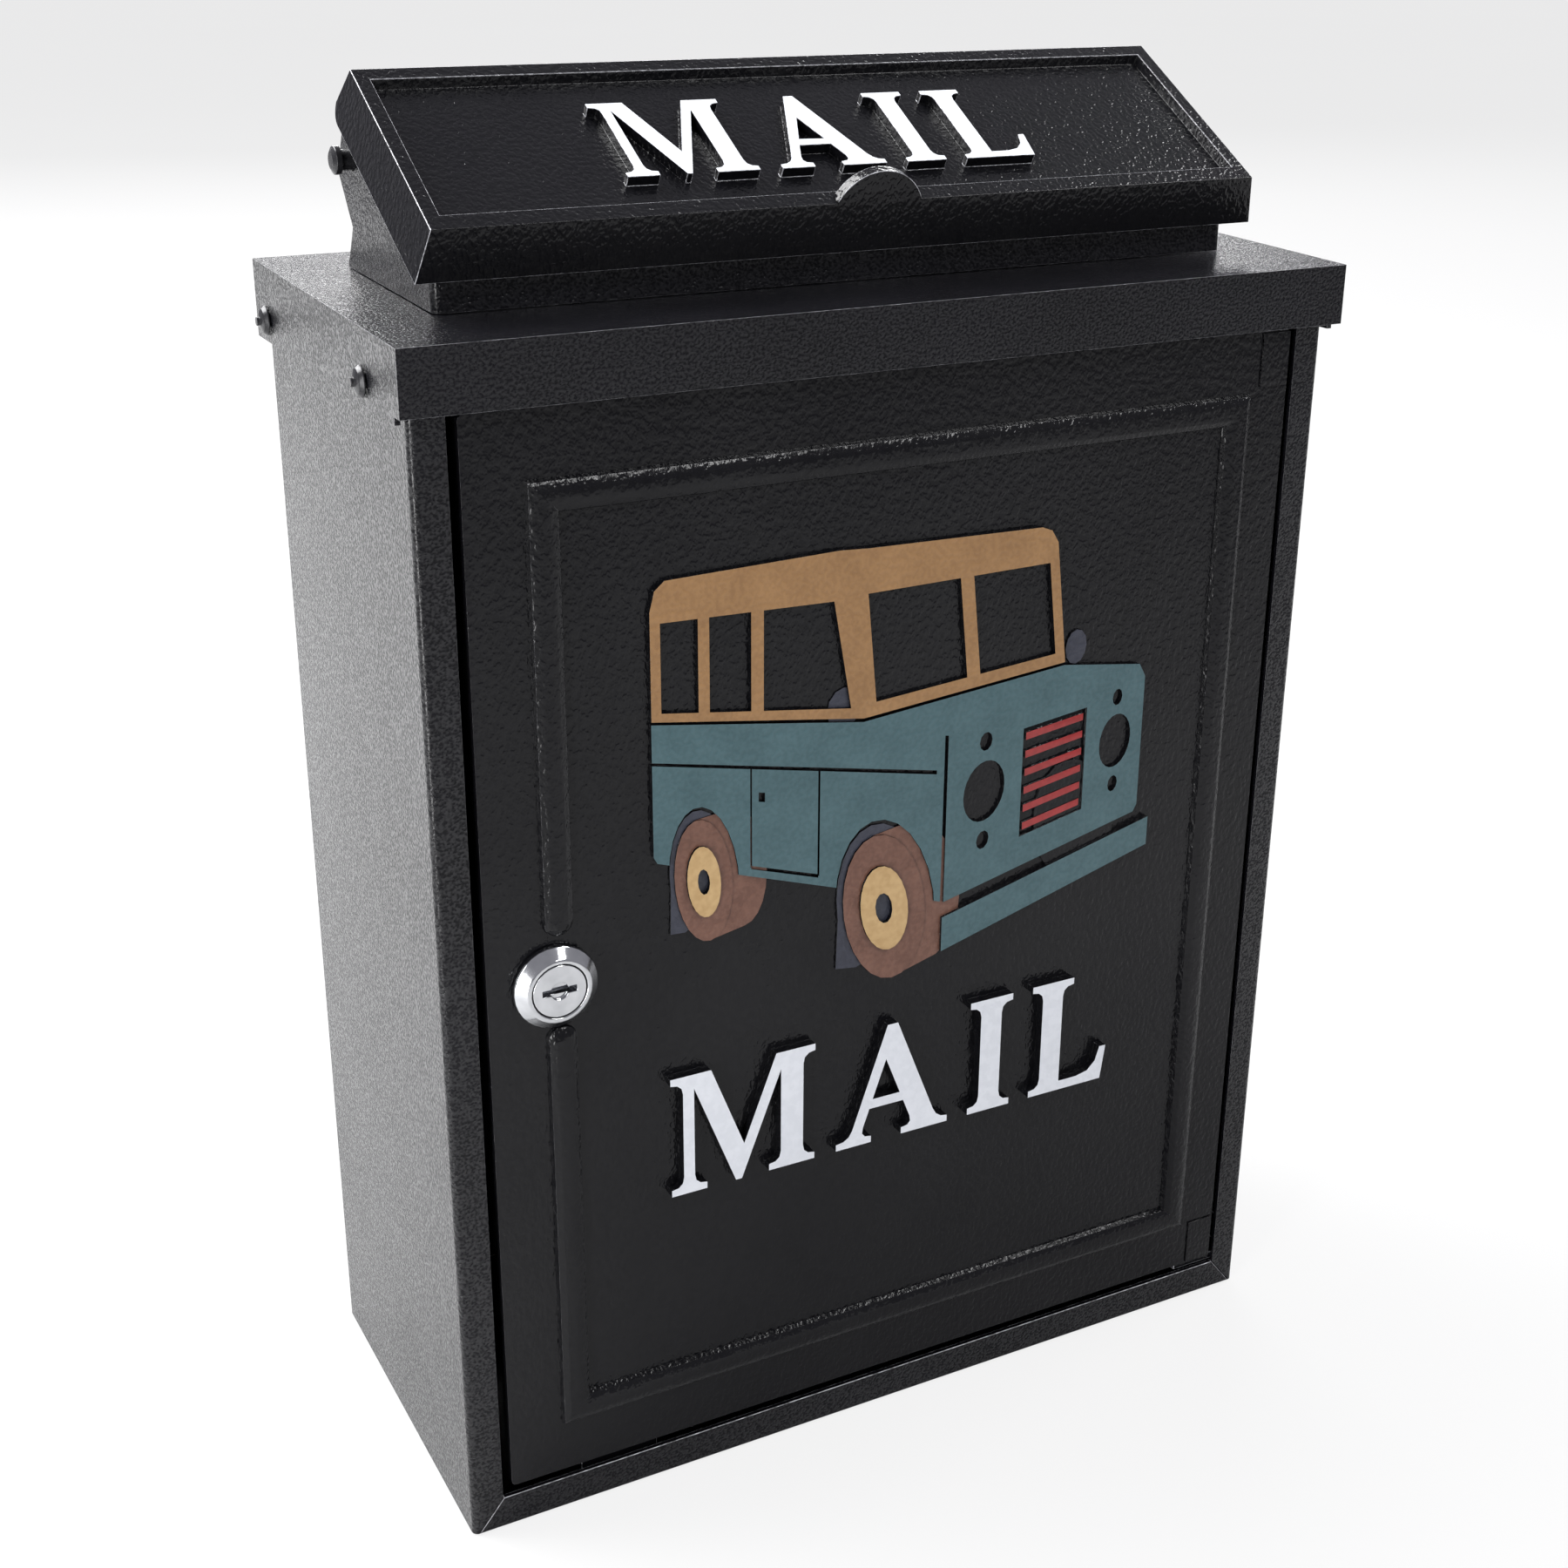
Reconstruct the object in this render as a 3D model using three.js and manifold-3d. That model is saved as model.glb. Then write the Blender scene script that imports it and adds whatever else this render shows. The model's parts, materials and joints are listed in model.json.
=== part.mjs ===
// Wall mounted mailbox: a folded steel box with a hinged cast door, a roof cap, a chute and a cast lid.
// Millimetres, +Z up. The wall is the plane y = 0 and the front faces -Y. While it is drawn, the floor of
// the box is z = 0, and the whole is then lowered so that the origin lies between the four wall fixings.

import * as THREE from 'three';
import { mergeVertices } from 'three/addons/utils/BufferGeometryUtils.js';
import Module from 'manifold-3d';

const wasm = await Module();
wasm.setup();

// ---- driving dimensions -------------------------------------------------------------------------

const SHEET = 1.5; // steel sheet
const GAP = 0.3; // air kept between two pieces that touch
const ROUND_STEPS = 24; // facets on a full circle

const BODY = { halfWidth: 135, depth: 119, foldRadius: 2, sideFlange: 9.2, bottomFlange: 9.7 };
const FIXING = { halfSpacing: 95, lowZ: 45, highZ: 300, radius: 3.25 };
const TRAY = { upstand: 8, stopX: -100, stopWidth: 24, stopHeight: 19 };

const CAP = {
  halfWidth: 138,
  front: 123.2,
  frontTopZ: 340,
  backTopZ: 342.4,
  frontSkirtZ: 323.5,
  sideSkirtZ: 321.5,
  slotHalfWidth: 112,
  slotFront: -86,
  slotBack: -30,
};
const RIVET = {
  headRadius: 4,
  headHeight: 1.9,
  stemRadius: 1.2,
  stemProud: 0.9,
  shankRadius: 2,
  tailRadius: 3.2,
  tailLength: 4,
  z: 327.4,
  ys: [-11, -96],
};

const LID = {
  slope: THREE.MathUtils.degToRad(29.5),
  frontY: -100.4,
  frontZ: 362.2,
  length: 64.7,
  halfWidth: 120.6,
  depth: 13.5,
  sideFlare: 3.3,
  frontFlare: 2.9,
  backFlare: 1.3,
  skin: 6.2,
  backDepth: 9,
  rimSide: 3.9,
  rimFront: 5.2,
  rimBack: 4.5,
  recess: 2.7,
  frontLip: 3.3,
  cavityHalfWidth: 119.4,
  cavityBack: 61.2,
  cornerRadius: 5.5,
};
const TAB = { radius: 13.6, centreDrop: 6, thickness: 3.2, lean: THREE.MathUtils.degToRad(12) };
const PIVOT = { u: 63.6, w: -26, rodRadius: 2.7, rodHalfLength: 122.4 };
const LUG = { innerX: 107, outerX: 115.8, radius: 4.6 };
const EAR = { footW: -43, backU: 73.2, lowW: -36.2, topW: -19, headU: 60.5, headW: -11 };
const ROD_CAP = { radius: 3.7, thickness: 2.3, outerX: 123.8 };

const NECK = { halfWidth: 118.1, front: -91.8, backU: 57.7, topW: -6.6, foldRadius: 2.5 };

const DOOR = { left: -122.9, right: 123.7, bottom: 13, top: 322.4, thickness: 4, cornerRadius: 1.5 };
const HINGE = { x: 118.4, y: -113, bossRadius: 5.3, bossLength: 20, boreDepth: 15 };
const PIN = { radius: 2.5, reach: 14, proud: 0.5 };
const HINGE_PAD = { width: 9.7, height: 16, proud: 0.5 };
const HINGE_LUG = { innerX: 111, back: -104, thickness: 2.5, leg: 12, clearLow: 0.6, clearHigh: 1 };
const BEAD = { left: -107.2, right: 110.7, bottom: 29.2, top: 305.1, width: 8.8, height: 2.7 };

const LOCK = {
  x: -104.5,
  z: 169.3,
  flangeRadius: 11.8,
  rimHeight: 2,
  faceRadius: 8.9,
  proud: 4.8,
  barrelRadius: 9,
  barrelBack: -12,
  plugRadius: 7.45,
  nutAcrossFlats: 22,
  nutThickness: 4,
};
const KEYWAY = { width: 9.6, height: 1.8, depth: 6, eyeRadius: 2.5, eyeDepth: 1.2 };
const CAM = {
  width: 13,
  hubTop: 8,
  crankStart: 13,
  crankEnd: 18,
  length: 26,
  thickness: 2,
  hubPlane: -12.6,
  tipPlane: -4.6,
};
const CAM_SCREW = { headRadius: 3.7, headHeight: 2.4, shankRadius: 1.7 };

const LETTERS = { height: 37.5, relief: 3, baseZ: 96, left: -72.9, gap: 7.1 };
const LID_LETTERS = { height: 30.8, relief: 2.9, baseU: 15.5, left: -64.5, gap: 6.4 };

// The van on the door is drawn in perspective, and each of its colours has a relief of its own height.
const VAN = { x: 14, z: 270, turn: THREE.MathUtils.degToRad(50), distance: 320, eye: 92, scale: 1.11 };
const RELIEF = { guard: 0.6, tread: 0.8, bar: 1, tyre: 1.15, body: 1.3, cabin: 1.5, bumper: 1.7, hub: 1.9 };

// ---- solids and placing -------------------------------------------------------------------------

// A manifold solid of a closed three.js geometry.
function solid(geometry) {
  const bare = geometry.index ? geometry.toNonIndexed() : geometry.clone();
  bare.deleteAttribute('normal');
  bare.deleteAttribute('uv');
  const merged = mergeVertices(bare, 1e-4);
  const mesh = new wasm.Mesh({
    numProp: 3,
    vertProperties: new Float32Array(merged.attributes.position.array),
    triVerts: new Uint32Array(merged.index.array),
  });
  return new wasm.Manifold(mesh);
}

function geometryOf(body) {
  const mesh = body.getMesh();
  const geometry = new THREE.BufferGeometry();
  geometry.setAttribute('position', new THREE.BufferAttribute(mesh.vertProperties, 3));
  geometry.setIndex(new THREE.BufferAttribute(mesh.triVerts, 1));
  geometry.computeVertexNormals();
  return geometry;
}

function union(bodies) {
  return bodies.reduce((sum, body) => sum.add(body));
}

function cut(body, tools) {
  return tools.reduce((rest, tool) => rest.subtract(tool), body);
}

// Extrusions of one outline: in plan, in side view and in front view.
const IN_PLAN = new THREE.Matrix4();
const IN_SIDE_VIEW = new THREE.Matrix4().makeBasis(
  new THREE.Vector3(0, 1, 0),
  new THREE.Vector3(0, 0, 1),
  new THREE.Vector3(1, 0, 0),
);
const IN_FRONT_VIEW = new THREE.Matrix4().makeBasis(
  new THREE.Vector3(1, 0, 0),
  new THREE.Vector3(0, 0, 1),
  new THREE.Vector3(0, -1, 0),
);

function prism(shape, view, start, end, curveSegments = 6) {
  const depth = end - start;
  const geometry = new THREE.ExtrudeGeometry(shape, { depth, bevelEnabled: false, curveSegments });
  geometry.translate(0, 0, start);
  geometry.applyMatrix4(view);
  return solid(geometry);
}

// Front view prisms run towards -Y, so their start and end are distances in front of the wall.
const plan = (shape, z0, z1) => prism(shape, IN_PLAN, z0, z1);
const side = (shape, x0, x1) => prism(shape, IN_SIDE_VIEW, x0, x1);
const front = (shape, d0, d1) => prism(shape, IN_FRONT_VIEW, d0, d1);

function box(x0, x1, y0, y1, z0, z1) {
  const geometry = new THREE.BoxGeometry(x1 - x0, y1 - y0, z1 - z0);
  geometry.translate((x0 + x1) / 2, (y0 + y1) / 2, (z0 + z1) / 2);
  return solid(geometry);
}

// A body turned about an axis. The profile holds [radius, distance along the axis] pairs, closed.
function turned(profile, axis, centre, steps = ROUND_STEPS) {
  const points = profile.map(([r, a]) => new THREE.Vector2(r, a));
  if (points[0].distanceTo(points[points.length - 1]) > 1e-6) points.push(points[0].clone());
  const geometry = new THREE.LatheGeometry(points, steps);
  const turn = new THREE.Quaternion().setFromUnitVectors(new THREE.Vector3(0, 1, 0), axis);
  geometry.applyQuaternion(turn);
  geometry.translate(centre.x, centre.y, centre.z);
  const body = solid(geometry);
  if (body.volume() > 0) return body;
  geometry.setIndex([...geometry.index.array].reverse());
  return solid(geometry);
}

function rod(axis, centre, radius, start, end, steps = ROUND_STEPS) {
  return turned([[0, start], [radius, start], [radius, end], [0, end]], axis, centre, steps);
}

const X_AXIS = new THREE.Vector3(1, 0, 0);
const Z_AXIS = new THREE.Vector3(0, 0, 1);
const FORWARD = new THREE.Vector3(0, -1, 0);

function polygon(points) {
  return new THREE.Shape(points.map(([a, b]) => new THREE.Vector2(a, b)));
}

function rectangle(a0, a1, b0, b1) {
  return polygon([[a0, b0], [a1, b0], [a1, b1], [a0, b1]]);
}

function roundedRectangle(a0, a1, b0, b1, r) {
  const shape = new THREE.Shape();
  shape.moveTo(a0 + r, b0);
  shape.lineTo(a1 - r, b0);
  shape.absarc(a1 - r, b0 + r, r, -Math.PI / 2, 0);
  shape.lineTo(a1, b1 - r);
  shape.absarc(a1 - r, b1 - r, r, 0, Math.PI / 2);
  shape.lineTo(a0 + r, b1);
  shape.absarc(a0 + r, b1 - r, r, Math.PI / 2, Math.PI);
  shape.lineTo(a0, b0 + r);
  shape.absarc(a0 + r, b0 + r, r, Math.PI, Math.PI * 1.5);
  return shape;
}

// ---- the sloping roof and lid planes ------------------------------------------------------------

function roofZ(y) {
  return CAP.backTopZ + ((CAP.backTopZ - CAP.frontTopZ) * y) / CAP.front;
}

// Lid coordinates: u runs up the slope from the front edge, w stands out of the lid's top face.
const LID_FRAME = new THREE.Matrix4()
  .makeTranslation(0, LID.frontY, LID.frontZ)
  .multiply(new THREE.Matrix4().makeRotationX(LID.slope));

function lidPoint(u, w) {
  return new THREE.Vector3(0, u, w).applyMatrix4(LID_FRAME);
}

function inLidFrame(shape, x0, x1, curveSegments = 6) {
  const view = LID_FRAME.clone().multiply(IN_SIDE_VIEW);
  return prism(shape, view, x0, x1, curveSegments);
}

const PIVOT_AT = lidPoint(PIVOT.u, PIVOT.w);

// ---- folded box ---------------------------------------------------------------------------------

function bodyWrap() {
  const { halfWidth: w, depth, foldRadius: r, sideFlange, bottomFlange } = BODY;
  const lip = w - sideFlange;
  const t = SHEET;
  const ri = r - t;
  const outline = new THREE.Shape();
  outline.moveTo(-lip, -depth);
  outline.lineTo(-lip, -depth + t);
  outline.lineTo(-w + t + ri, -depth + t);
  outline.absarc(-w + t + ri, -depth + t + ri, ri, -Math.PI / 2, -Math.PI, true);
  outline.lineTo(-w + t, -t - ri);
  outline.absarc(-w + t + ri, -t - ri, ri, Math.PI, Math.PI / 2, true);
  outline.lineTo(w - t - ri, -t);
  outline.absarc(w - t - ri, -t - ri, ri, Math.PI / 2, 0, true);
  outline.lineTo(w - t, -depth + t + ri);
  outline.absarc(w - t - ri, -depth + t + ri, ri, 0, -Math.PI / 2, true);
  outline.lineTo(lip, -depth + t);
  outline.lineTo(lip, -depth);
  outline.lineTo(w - r, -depth);
  outline.absarc(w - r, -depth + r, r, -Math.PI / 2, 0);
  outline.lineTo(w, -r);
  outline.absarc(w - r, -r, r, 0, Math.PI / 2);
  outline.lineTo(-w + r, 0);
  outline.absarc(-w + r, -r, r, Math.PI / 2, Math.PI);
  outline.lineTo(-w, -depth + r);
  outline.absarc(-w + r, -depth + r, r, Math.PI, Math.PI * 1.5);

  const above = polygon([
    [1, roofZ(1) - SHEET - GAP],
    [1, CAP.backTopZ + 10],
    [-depth - 1, CAP.backTopZ + 10],
    [-depth - 1, roofZ(-depth - 1) - SHEET - GAP],
  ]);
  const tools = [side(above, -w - 1, w + 1)];
  for (const hand of [-1, 1]) {
    const mitre = polygon([
      [hand * (w - t), -1], [hand * (lip - 1), -1], [hand * (lip - 1), bottomFlange + 1.26],
      [hand * (w - t), 0],
    ]);
    tools.push(front(mitre, depth - t - GAP, depth + 1));
    for (const z of [FIXING.lowZ, FIXING.highZ]) {
      const at = new THREE.Vector3(hand * FIXING.halfSpacing, 0, z);
      tools.push(rod(FORWARD, at, FIXING.radius, -1, t + 1));
    }
    for (const y of RIVET.ys) {
      const at = new THREE.Vector3(0, y, RIVET.z);
      tools.push(rod(X_AXIS, at, RIVET.shankRadius + GAP, ...span(hand, w - t - 1, w + 1)));
    }
  }
  return cut(plan(outline, 0, CAP.backTopZ), tools);
}

// The span from near to far on one side of the middle, in rising order.
function span(hand, near, far) {
  return hand > 0 ? [near, far] : [-far, -near];
}

function floorTray() {
  const { halfWidth: w, depth, bottomFlange: flange, sideFlange } = BODY;
  const inner = w - SHEET - GAP;
  const behind = -depth + SHEET + GAP;
  const back = -SHEET - GAP;
  const mid = w - sideFlange;
  const floor = polygon([
    [-inner, back], [-inner, behind], [-mid, behind], [-mid, -depth + 0.5],
    [mid, -depth + 0.5], [mid, behind], [inner, behind], [inner, back],
  ]);
  const lip = polygon([[-inner + 0.1, 0], [inner - 0.1, 0], [mid - 0.4, flange], [-mid + 0.4, flange]]);
  const stopFace = -depth + DOOR.thickness + GAP;
  const { stopX, stopWidth, stopHeight, upstand } = TRAY;
  return union([
    plan(floor, 0, SHEET),
    front(lip, depth - SHEET, depth),
    box(-inner, inner, back - SHEET, back, 0, upstand),
    box(-inner, -inner + SHEET, behind + 6, back, 0, upstand),
    box(inner - SHEET, inner, behind + 6, back, 0, upstand),
    box(stopX, stopX + stopWidth, stopFace, stopFace + SHEET, 0, stopHeight),
  ]);
}

// ---- roof cap and its rivets --------------------------------------------------------------------

function roofCap() {
  const { halfWidth: w, front: d, sideSkirtZ, frontSkirtZ } = CAP;
  const outer = polygon([[0, sideSkirtZ], [-d, sideSkirtZ], [-d, CAP.frontTopZ], [0, CAP.backTopZ]]);
  const inner = polygon([
    [1, sideSkirtZ - 1],
    [-d + SHEET, sideSkirtZ - 1],
    [-d + SHEET, roofZ(-d + SHEET) - SHEET],
    [1, roofZ(1) - SHEET],
  ]);
  const tools = [
    side(inner, -w + SHEET, w - SHEET),
    box(-w - 1, w + 1, -d - 1, -BODY.depth - GAP, sideSkirtZ - 1, frontSkirtZ),
    box(-CAP.slotHalfWidth, CAP.slotHalfWidth, CAP.slotFront, CAP.slotBack, frontSkirtZ, CAP.backTopZ + 1),
  ];
  for (const hand of [-1, 1]) {
    for (const y of RIVET.ys) {
      const at = new THREE.Vector3(0, y, RIVET.z);
      tools.push(rod(X_AXIS, at, RIVET.shankRadius + GAP, ...span(hand, w - SHEET - 1, w + 1)));
    }
  }
  return cut(side(outer, -w, w), tools);
}

// A blind rivet: domed head with the broken stem in the middle, shank, and the tail set in the box.
function capRivet(hand, y) {
  const { headRadius: r, headHeight: h, stemRadius, stemProud, shankRadius, tailRadius, tailLength } = RIVET;
  const skin = CAP.halfWidth + GAP;
  const tail = BODY.halfWidth - SHEET - GAP;
  const profile = [
    [0, tail - tailLength], [tailRadius * 0.44, tail - tailLength], [tailRadius, tail - tailLength * 0.65],
    [tailRadius, tail - tailLength * 0.2], [shankRadius, tail],
    [shankRadius, skin], [r, skin], [r, skin + h * 0.21], [r * 0.8, skin + h * 0.72], [r * 0.4, skin + h],
    [stemRadius, skin + h], [stemRadius, skin + h + stemProud], [0, skin + h + stemProud],
  ];
  const axis = new THREE.Vector3(hand, 0, 0);
  return turned(profile, axis, new THREE.Vector3(0, y, RIVET.z), 16);
}

// ---- chute on the roof --------------------------------------------------------------------------

// One side wall's ear, which reaches behind the chute and carries the lid's rod.
function neckEar(hand) {
  const { footW, backU, lowW, topW, headU, headW } = EAR;
  const root = NECK.backU - SHEET;
  const outline = polygon([[root, footW], [NECK.backU, footW], [backU, lowW], [backU, topW], [headU, headW],
    [root, headW]]);
  const bore = new THREE.Path();
  bore.absarc(PIVOT.u, PIVOT.w, PIVOT.rodRadius + GAP, 0, Math.PI * 2, true);
  outline.holes.push(bore);
  return inLidFrame(outline, ...span(hand, NECK.halfWidth - SHEET, NECK.halfWidth), 12);
}

// The chute stands upright at the front and sides. Its back wall is square to the lid.
function chuteNeck() {
  const { halfWidth: w, front: f, backU, topW, foldRadius: r } = NECK;
  const above = CAP.backTopZ + 60;
  const overRoof = polygon([
    [-CAP.front, roofZ(-CAP.front) + GAP], [0, roofZ(0) + GAP], [0, above], [-CAP.front, above],
  ]);
  const beforeBackWall = (inset) => inLidFrame(rectangle(-60, backU - inset, -140, 40), -w - 1, w + 1);
  const shell = plan(roundedRectangle(-w, w, f, 20, r), CAP.frontTopZ - 5, above)
    .intersect(inLidFrame(rectangle(-20, backU + 20, -140, topW), -w - 1, w + 1))
    .intersect(beforeBackWall(0))
    .intersect(side(overRoof, -w - 1, w + 1));
  const hollow = plan(roundedRectangle(-w + SHEET, w - SHEET, f + SHEET, 20, r - SHEET), 300, above + 10)
    .intersect(beforeBackWall(SHEET));
  return union([shell.subtract(hollow), neckEar(-1), neckEar(1)]);
}

// ---- cast lid and its hinge ---------------------------------------------------------------------

// A closed six-sided block between two rectangles, given as [x0, x1, y0, y1] at two heights.
function taperedBlock(low, lowZ, high, highZ) {
  const corners = ([x0, x1, y0, y1], z) => [[x0, y0, z], [x1, y0, z], [x1, y1, z], [x0, y1, z]];
  const points = [...corners(low, lowZ), ...corners(high, highZ)];
  const quads = [[3, 2, 1, 0], [4, 5, 6, 7], [0, 1, 5, 4], [1, 2, 6, 5], [2, 3, 7, 6], [3, 0, 4, 7]];
  const geometry = new THREE.BufferGeometry();
  geometry.setAttribute('position', new THREE.Float32BufferAttribute(points.flat(), 3));
  geometry.setIndex(quads.flatMap(([a, b, c, d]) => [a, b, c, a, c, d]));
  return geometry;
}

function taperedInLid(low, lowW, high, highW) {
  const geometry = taperedBlock(low, lowW, high, highW);
  geometry.applyMatrix4(LID_FRAME);
  return solid(geometry);
}

function lidTray() {
  const { halfWidth: w, length, depth, sideFlare, frontFlare, backFlare, skin, cornerRadius: r } = LID;
  const outer = taperedInLid(
    [-w - sideFlare, w + sideFlare, -frontFlare, length + backFlare], -depth,
    [-w, w, 0, length], 0,
  );
  const cheek = new THREE.Shape();
  cheek.moveTo(-frontFlare - 1, -depth - 1);
  cheek.lineTo(-frontFlare - 1, 1);
  cheek.lineTo(length + backFlare + 1, 1);
  cheek.lineTo(length + backFlare + 1, -depth + r);
  cheek.lineTo(length + backFlare, -depth + r);
  cheek.absarc(length + backFlare - r, -depth + r, r, 0, -Math.PI / 2, true);
  cheek.lineTo(length + backFlare - r, -depth - 1);

  const { rimSide, rimFront, rimBack, recess, frontLip, cavityHalfWidth: c, cavityBack } = LID;
  const pocket = taperedInLid(
    [-w + rimSide + 0.8, w - rimSide - 0.8, rimFront + 0.8, length - rimBack - 0.8], -recess,
    [-w + rimSide - 0.3, w - rimSide + 0.3, rimFront - 0.3, length - rimBack + 0.3], 1,
  );
  const cavity = taperedInLid(
    [-c, c, frontLip - frontFlare - 0.3, cavityBack], -depth - 1,
    [-c, c, frontLip, cavityBack], -skin,
  );
  const backOpening = inLidFrame(rectangle(cavityBack - 1, length + 10, -depth - 2, -LID.backDepth), -c, c);
  const tray = outer.intersect(inLidFrame(cheek, -w - 10, w + 10));
  return cut(tray, [pocket, cavity, backOpening]);
}

function lidLug(hand) {
  const { u, w, rodRadius } = PIVOT;
  const r = LUG.radius;
  const outline = new THREE.Shape();
  outline.moveTo(u - r, -LID.skin + 1);
  outline.lineTo(u - r, w);
  outline.absarc(u, w, r, Math.PI, Math.PI * 2);
  outline.lineTo(u + r, w + 6);
  outline.lineTo(LID.length, -LID.backDepth + 2);
  outline.lineTo(LID.length - 1, -LID.skin + 1);
  const bore = new THREE.Path();
  bore.absarc(u, w, rodRadius + GAP, 0, Math.PI * 2, true);
  outline.holes.push(bore);
  return inLidFrame(outline, ...span(hand, LUG.innerX, LUG.outerX), 12);
}

function fingerTab() {
  const { radius, centreDrop, thickness, lean } = TAB;
  const rise = Math.asin(centreDrop / radius);
  const root = 4;
  const outline = new THREE.Shape();
  outline.moveTo(-radius * Math.cos(rise), -root);
  outline.lineTo(radius * Math.cos(rise), -root);
  outline.absarc(0, -centreDrop, radius, rise, Math.PI - rise);
  const geometry = new THREE.ExtrudeGeometry(outline, {
    depth: thickness,
    bevelEnabled: false,
    curveSegments: 10,
  });
  geometry.applyMatrix4(new THREE.Matrix4().makeRotationX(Math.PI / 2 - lean));
  geometry.translate(0, thickness, 0);
  geometry.applyMatrix4(LID_FRAME);
  return solid(geometry);
}

function lidCasting() {
  const letters = word(LID_LETTERS).map((shape) => {
    const geometry = new THREE.ExtrudeGeometry(shape, {
      depth: LID_LETTERS.relief + 0.5,
      bevelEnabled: false,
      curveSegments: 3,
    });
    geometry.translate(0, LID_LETTERS.baseU, -LID.recess - 0.5);
    geometry.applyMatrix4(LID_FRAME);
    return solid(geometry);
  });
  return union([lidTray(), fingerTab(), lidLug(-1), lidLug(1), ...letters]);
}

function lidRod() {
  return rod(X_AXIS, PIVOT_AT, PIVOT.rodRadius, -PIVOT.rodHalfLength, PIVOT.rodHalfLength);
}

function rodCap(hand) {
  const { radius: r, thickness, outerX } = ROD_CAP;
  const inner = outerX - thickness;
  const bore = PIVOT.rodRadius + GAP;
  const seat = PIVOT.rodHalfLength + GAP;
  const profile = [[0, seat], [bore, seat], [bore, inner], [r, inner], [r, outerX - 0.8], [r * 0.6, outerX],
    [0, outerX]];
  return turned(profile, new THREE.Vector3(hand, 0, 0), PIVOT_AT);
}

// ---- cast door ----------------------------------------------------------------------------------

const DOOR_FACE = BODY.depth;

// A bead of rounded section around a rectangle, with mitred corners.
function beadFrame() {
  const { left, right, bottom, top, width, height } = BEAD;
  const steps = 6;
  const profile = [[0, -0.5]];
  for (let i = 0; i <= steps; i += 1) {
    const angle = (Math.PI * i) / steps;
    profile.push([(width / 2) * (1 - Math.cos(angle)), 0.05 + (height - 0.05) * Math.sin(angle)]);
  }
  profile.push([width, -0.5]);
  const points = [];
  for (const [inset, out] of profile) {
    const y = -DOOR_FACE - out;
    points.push([left + inset, y, bottom + inset], [right - inset, y, bottom + inset]);
    points.push([right - inset, y, top - inset], [left + inset, y, top - inset]);
  }
  const index = [];
  for (let i = 0; i < profile.length; i += 1) {
    const next = ((i + 1) % profile.length) * 4;
    for (let k = 0; k < 4; k += 1) {
      const a = i * 4 + k;
      const b = i * 4 + ((k + 1) % 4);
      const c = next + ((k + 1) % 4);
      const d = next + k;
      index.push(a, b, c, a, c, d);
    }
  }
  const geometry = new THREE.BufferGeometry();
  geometry.setAttribute('position', new THREE.Float32BufferAttribute(points.flat(), 3));
  geometry.setIndex(index);
  const ring = solid(geometry);
  if (ring.volume() > 0) return ring;
  geometry.setIndex([...index].reverse());
  return solid(geometry);
}

function beadEnd(z) {
  const { left, width, height } = BEAD;
  const geometry = new THREE.SphereGeometry(1, 16, 8);
  geometry.scale(width / 2, height, width / 2);
  geometry.translate(left + width / 2, -DOOR_FACE, z);
  return solid(geometry);
}

function doorCasting() {
  const { left, right, bottom, top, thickness, cornerRadius } = DOOR;
  const d = DOOR_FACE;
  const plate = front(roundedRectangle(left, right, bottom, top, cornerRadius), d - thickness, d);
  const upperEnd = LOCK.z + LOCK.flangeRadius + 2 + BEAD.width / 2;
  const lowerEnd = LOCK.z - LOCK.flangeRadius - 0.5 - BEAD.width / 2;
  const lockGap = box(left, BEAD.left + BEAD.width + 1, -d - 9, -d + 0.2, lowerEnd, upperEnd);
  const pads = [top - HINGE_PAD.height, bottom].map((z) => {
    const pad = rectangle(right - HINGE_PAD.width, right - 0.4, z + 0.4, z + HINGE_PAD.height - 0.4);
    return front(pad, d - 1, d + HINGE_PAD.proud);
  });
  const bosses = [bottom, top - HINGE.bossLength].map((z) => {
    const at = new THREE.Vector3(HINGE.x, HINGE.y, z);
    return rod(Z_AXIS, at, HINGE.bossRadius, 0, HINGE.bossLength);
  });
  const boreSpans = [[bottom - 1, bottom + HINGE.boreDepth], [top - HINGE.boreDepth, top + 1]];
  const bores = boreSpans.map(([z0, z1]) => {
    const at = new THREE.Vector3(HINGE.x, HINGE.y, 0);
    return rod(Z_AXIS, at, PIN.radius + GAP, z0, z1);
  });
  const frame = beadFrame().subtract(lockGap);
  const letters = word(LETTERS).map((shape) => {
    const geometry = new THREE.ExtrudeGeometry(shape, {
      depth: LETTERS.relief + 0.5,
      bevelEnabled: false,
      curveSegments: 3,
    });
    geometry.translate(0, LETTERS.baseZ, d - 0.5);
    geometry.applyMatrix4(IN_FRONT_VIEW);
    return solid(geometry);
  });
  const lockHole = rod(FORWARD, LOCK_AT, LOCK.barrelRadius + GAP, -10, 10);
  const ends = [beadEnd(upperEnd), beadEnd(lowerEnd)];
  const casting = union([plate, ...bosses, ...pads, frame, ...ends, ...letters, vanRelief()]);
  return cut(casting, [lockHole, ...bores]);
}

function doorPin(start, end) {
  return rod(Z_AXIS, new THREE.Vector3(HINGE.x, HINGE.y, 0), PIN.radius, start, end);
}

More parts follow.
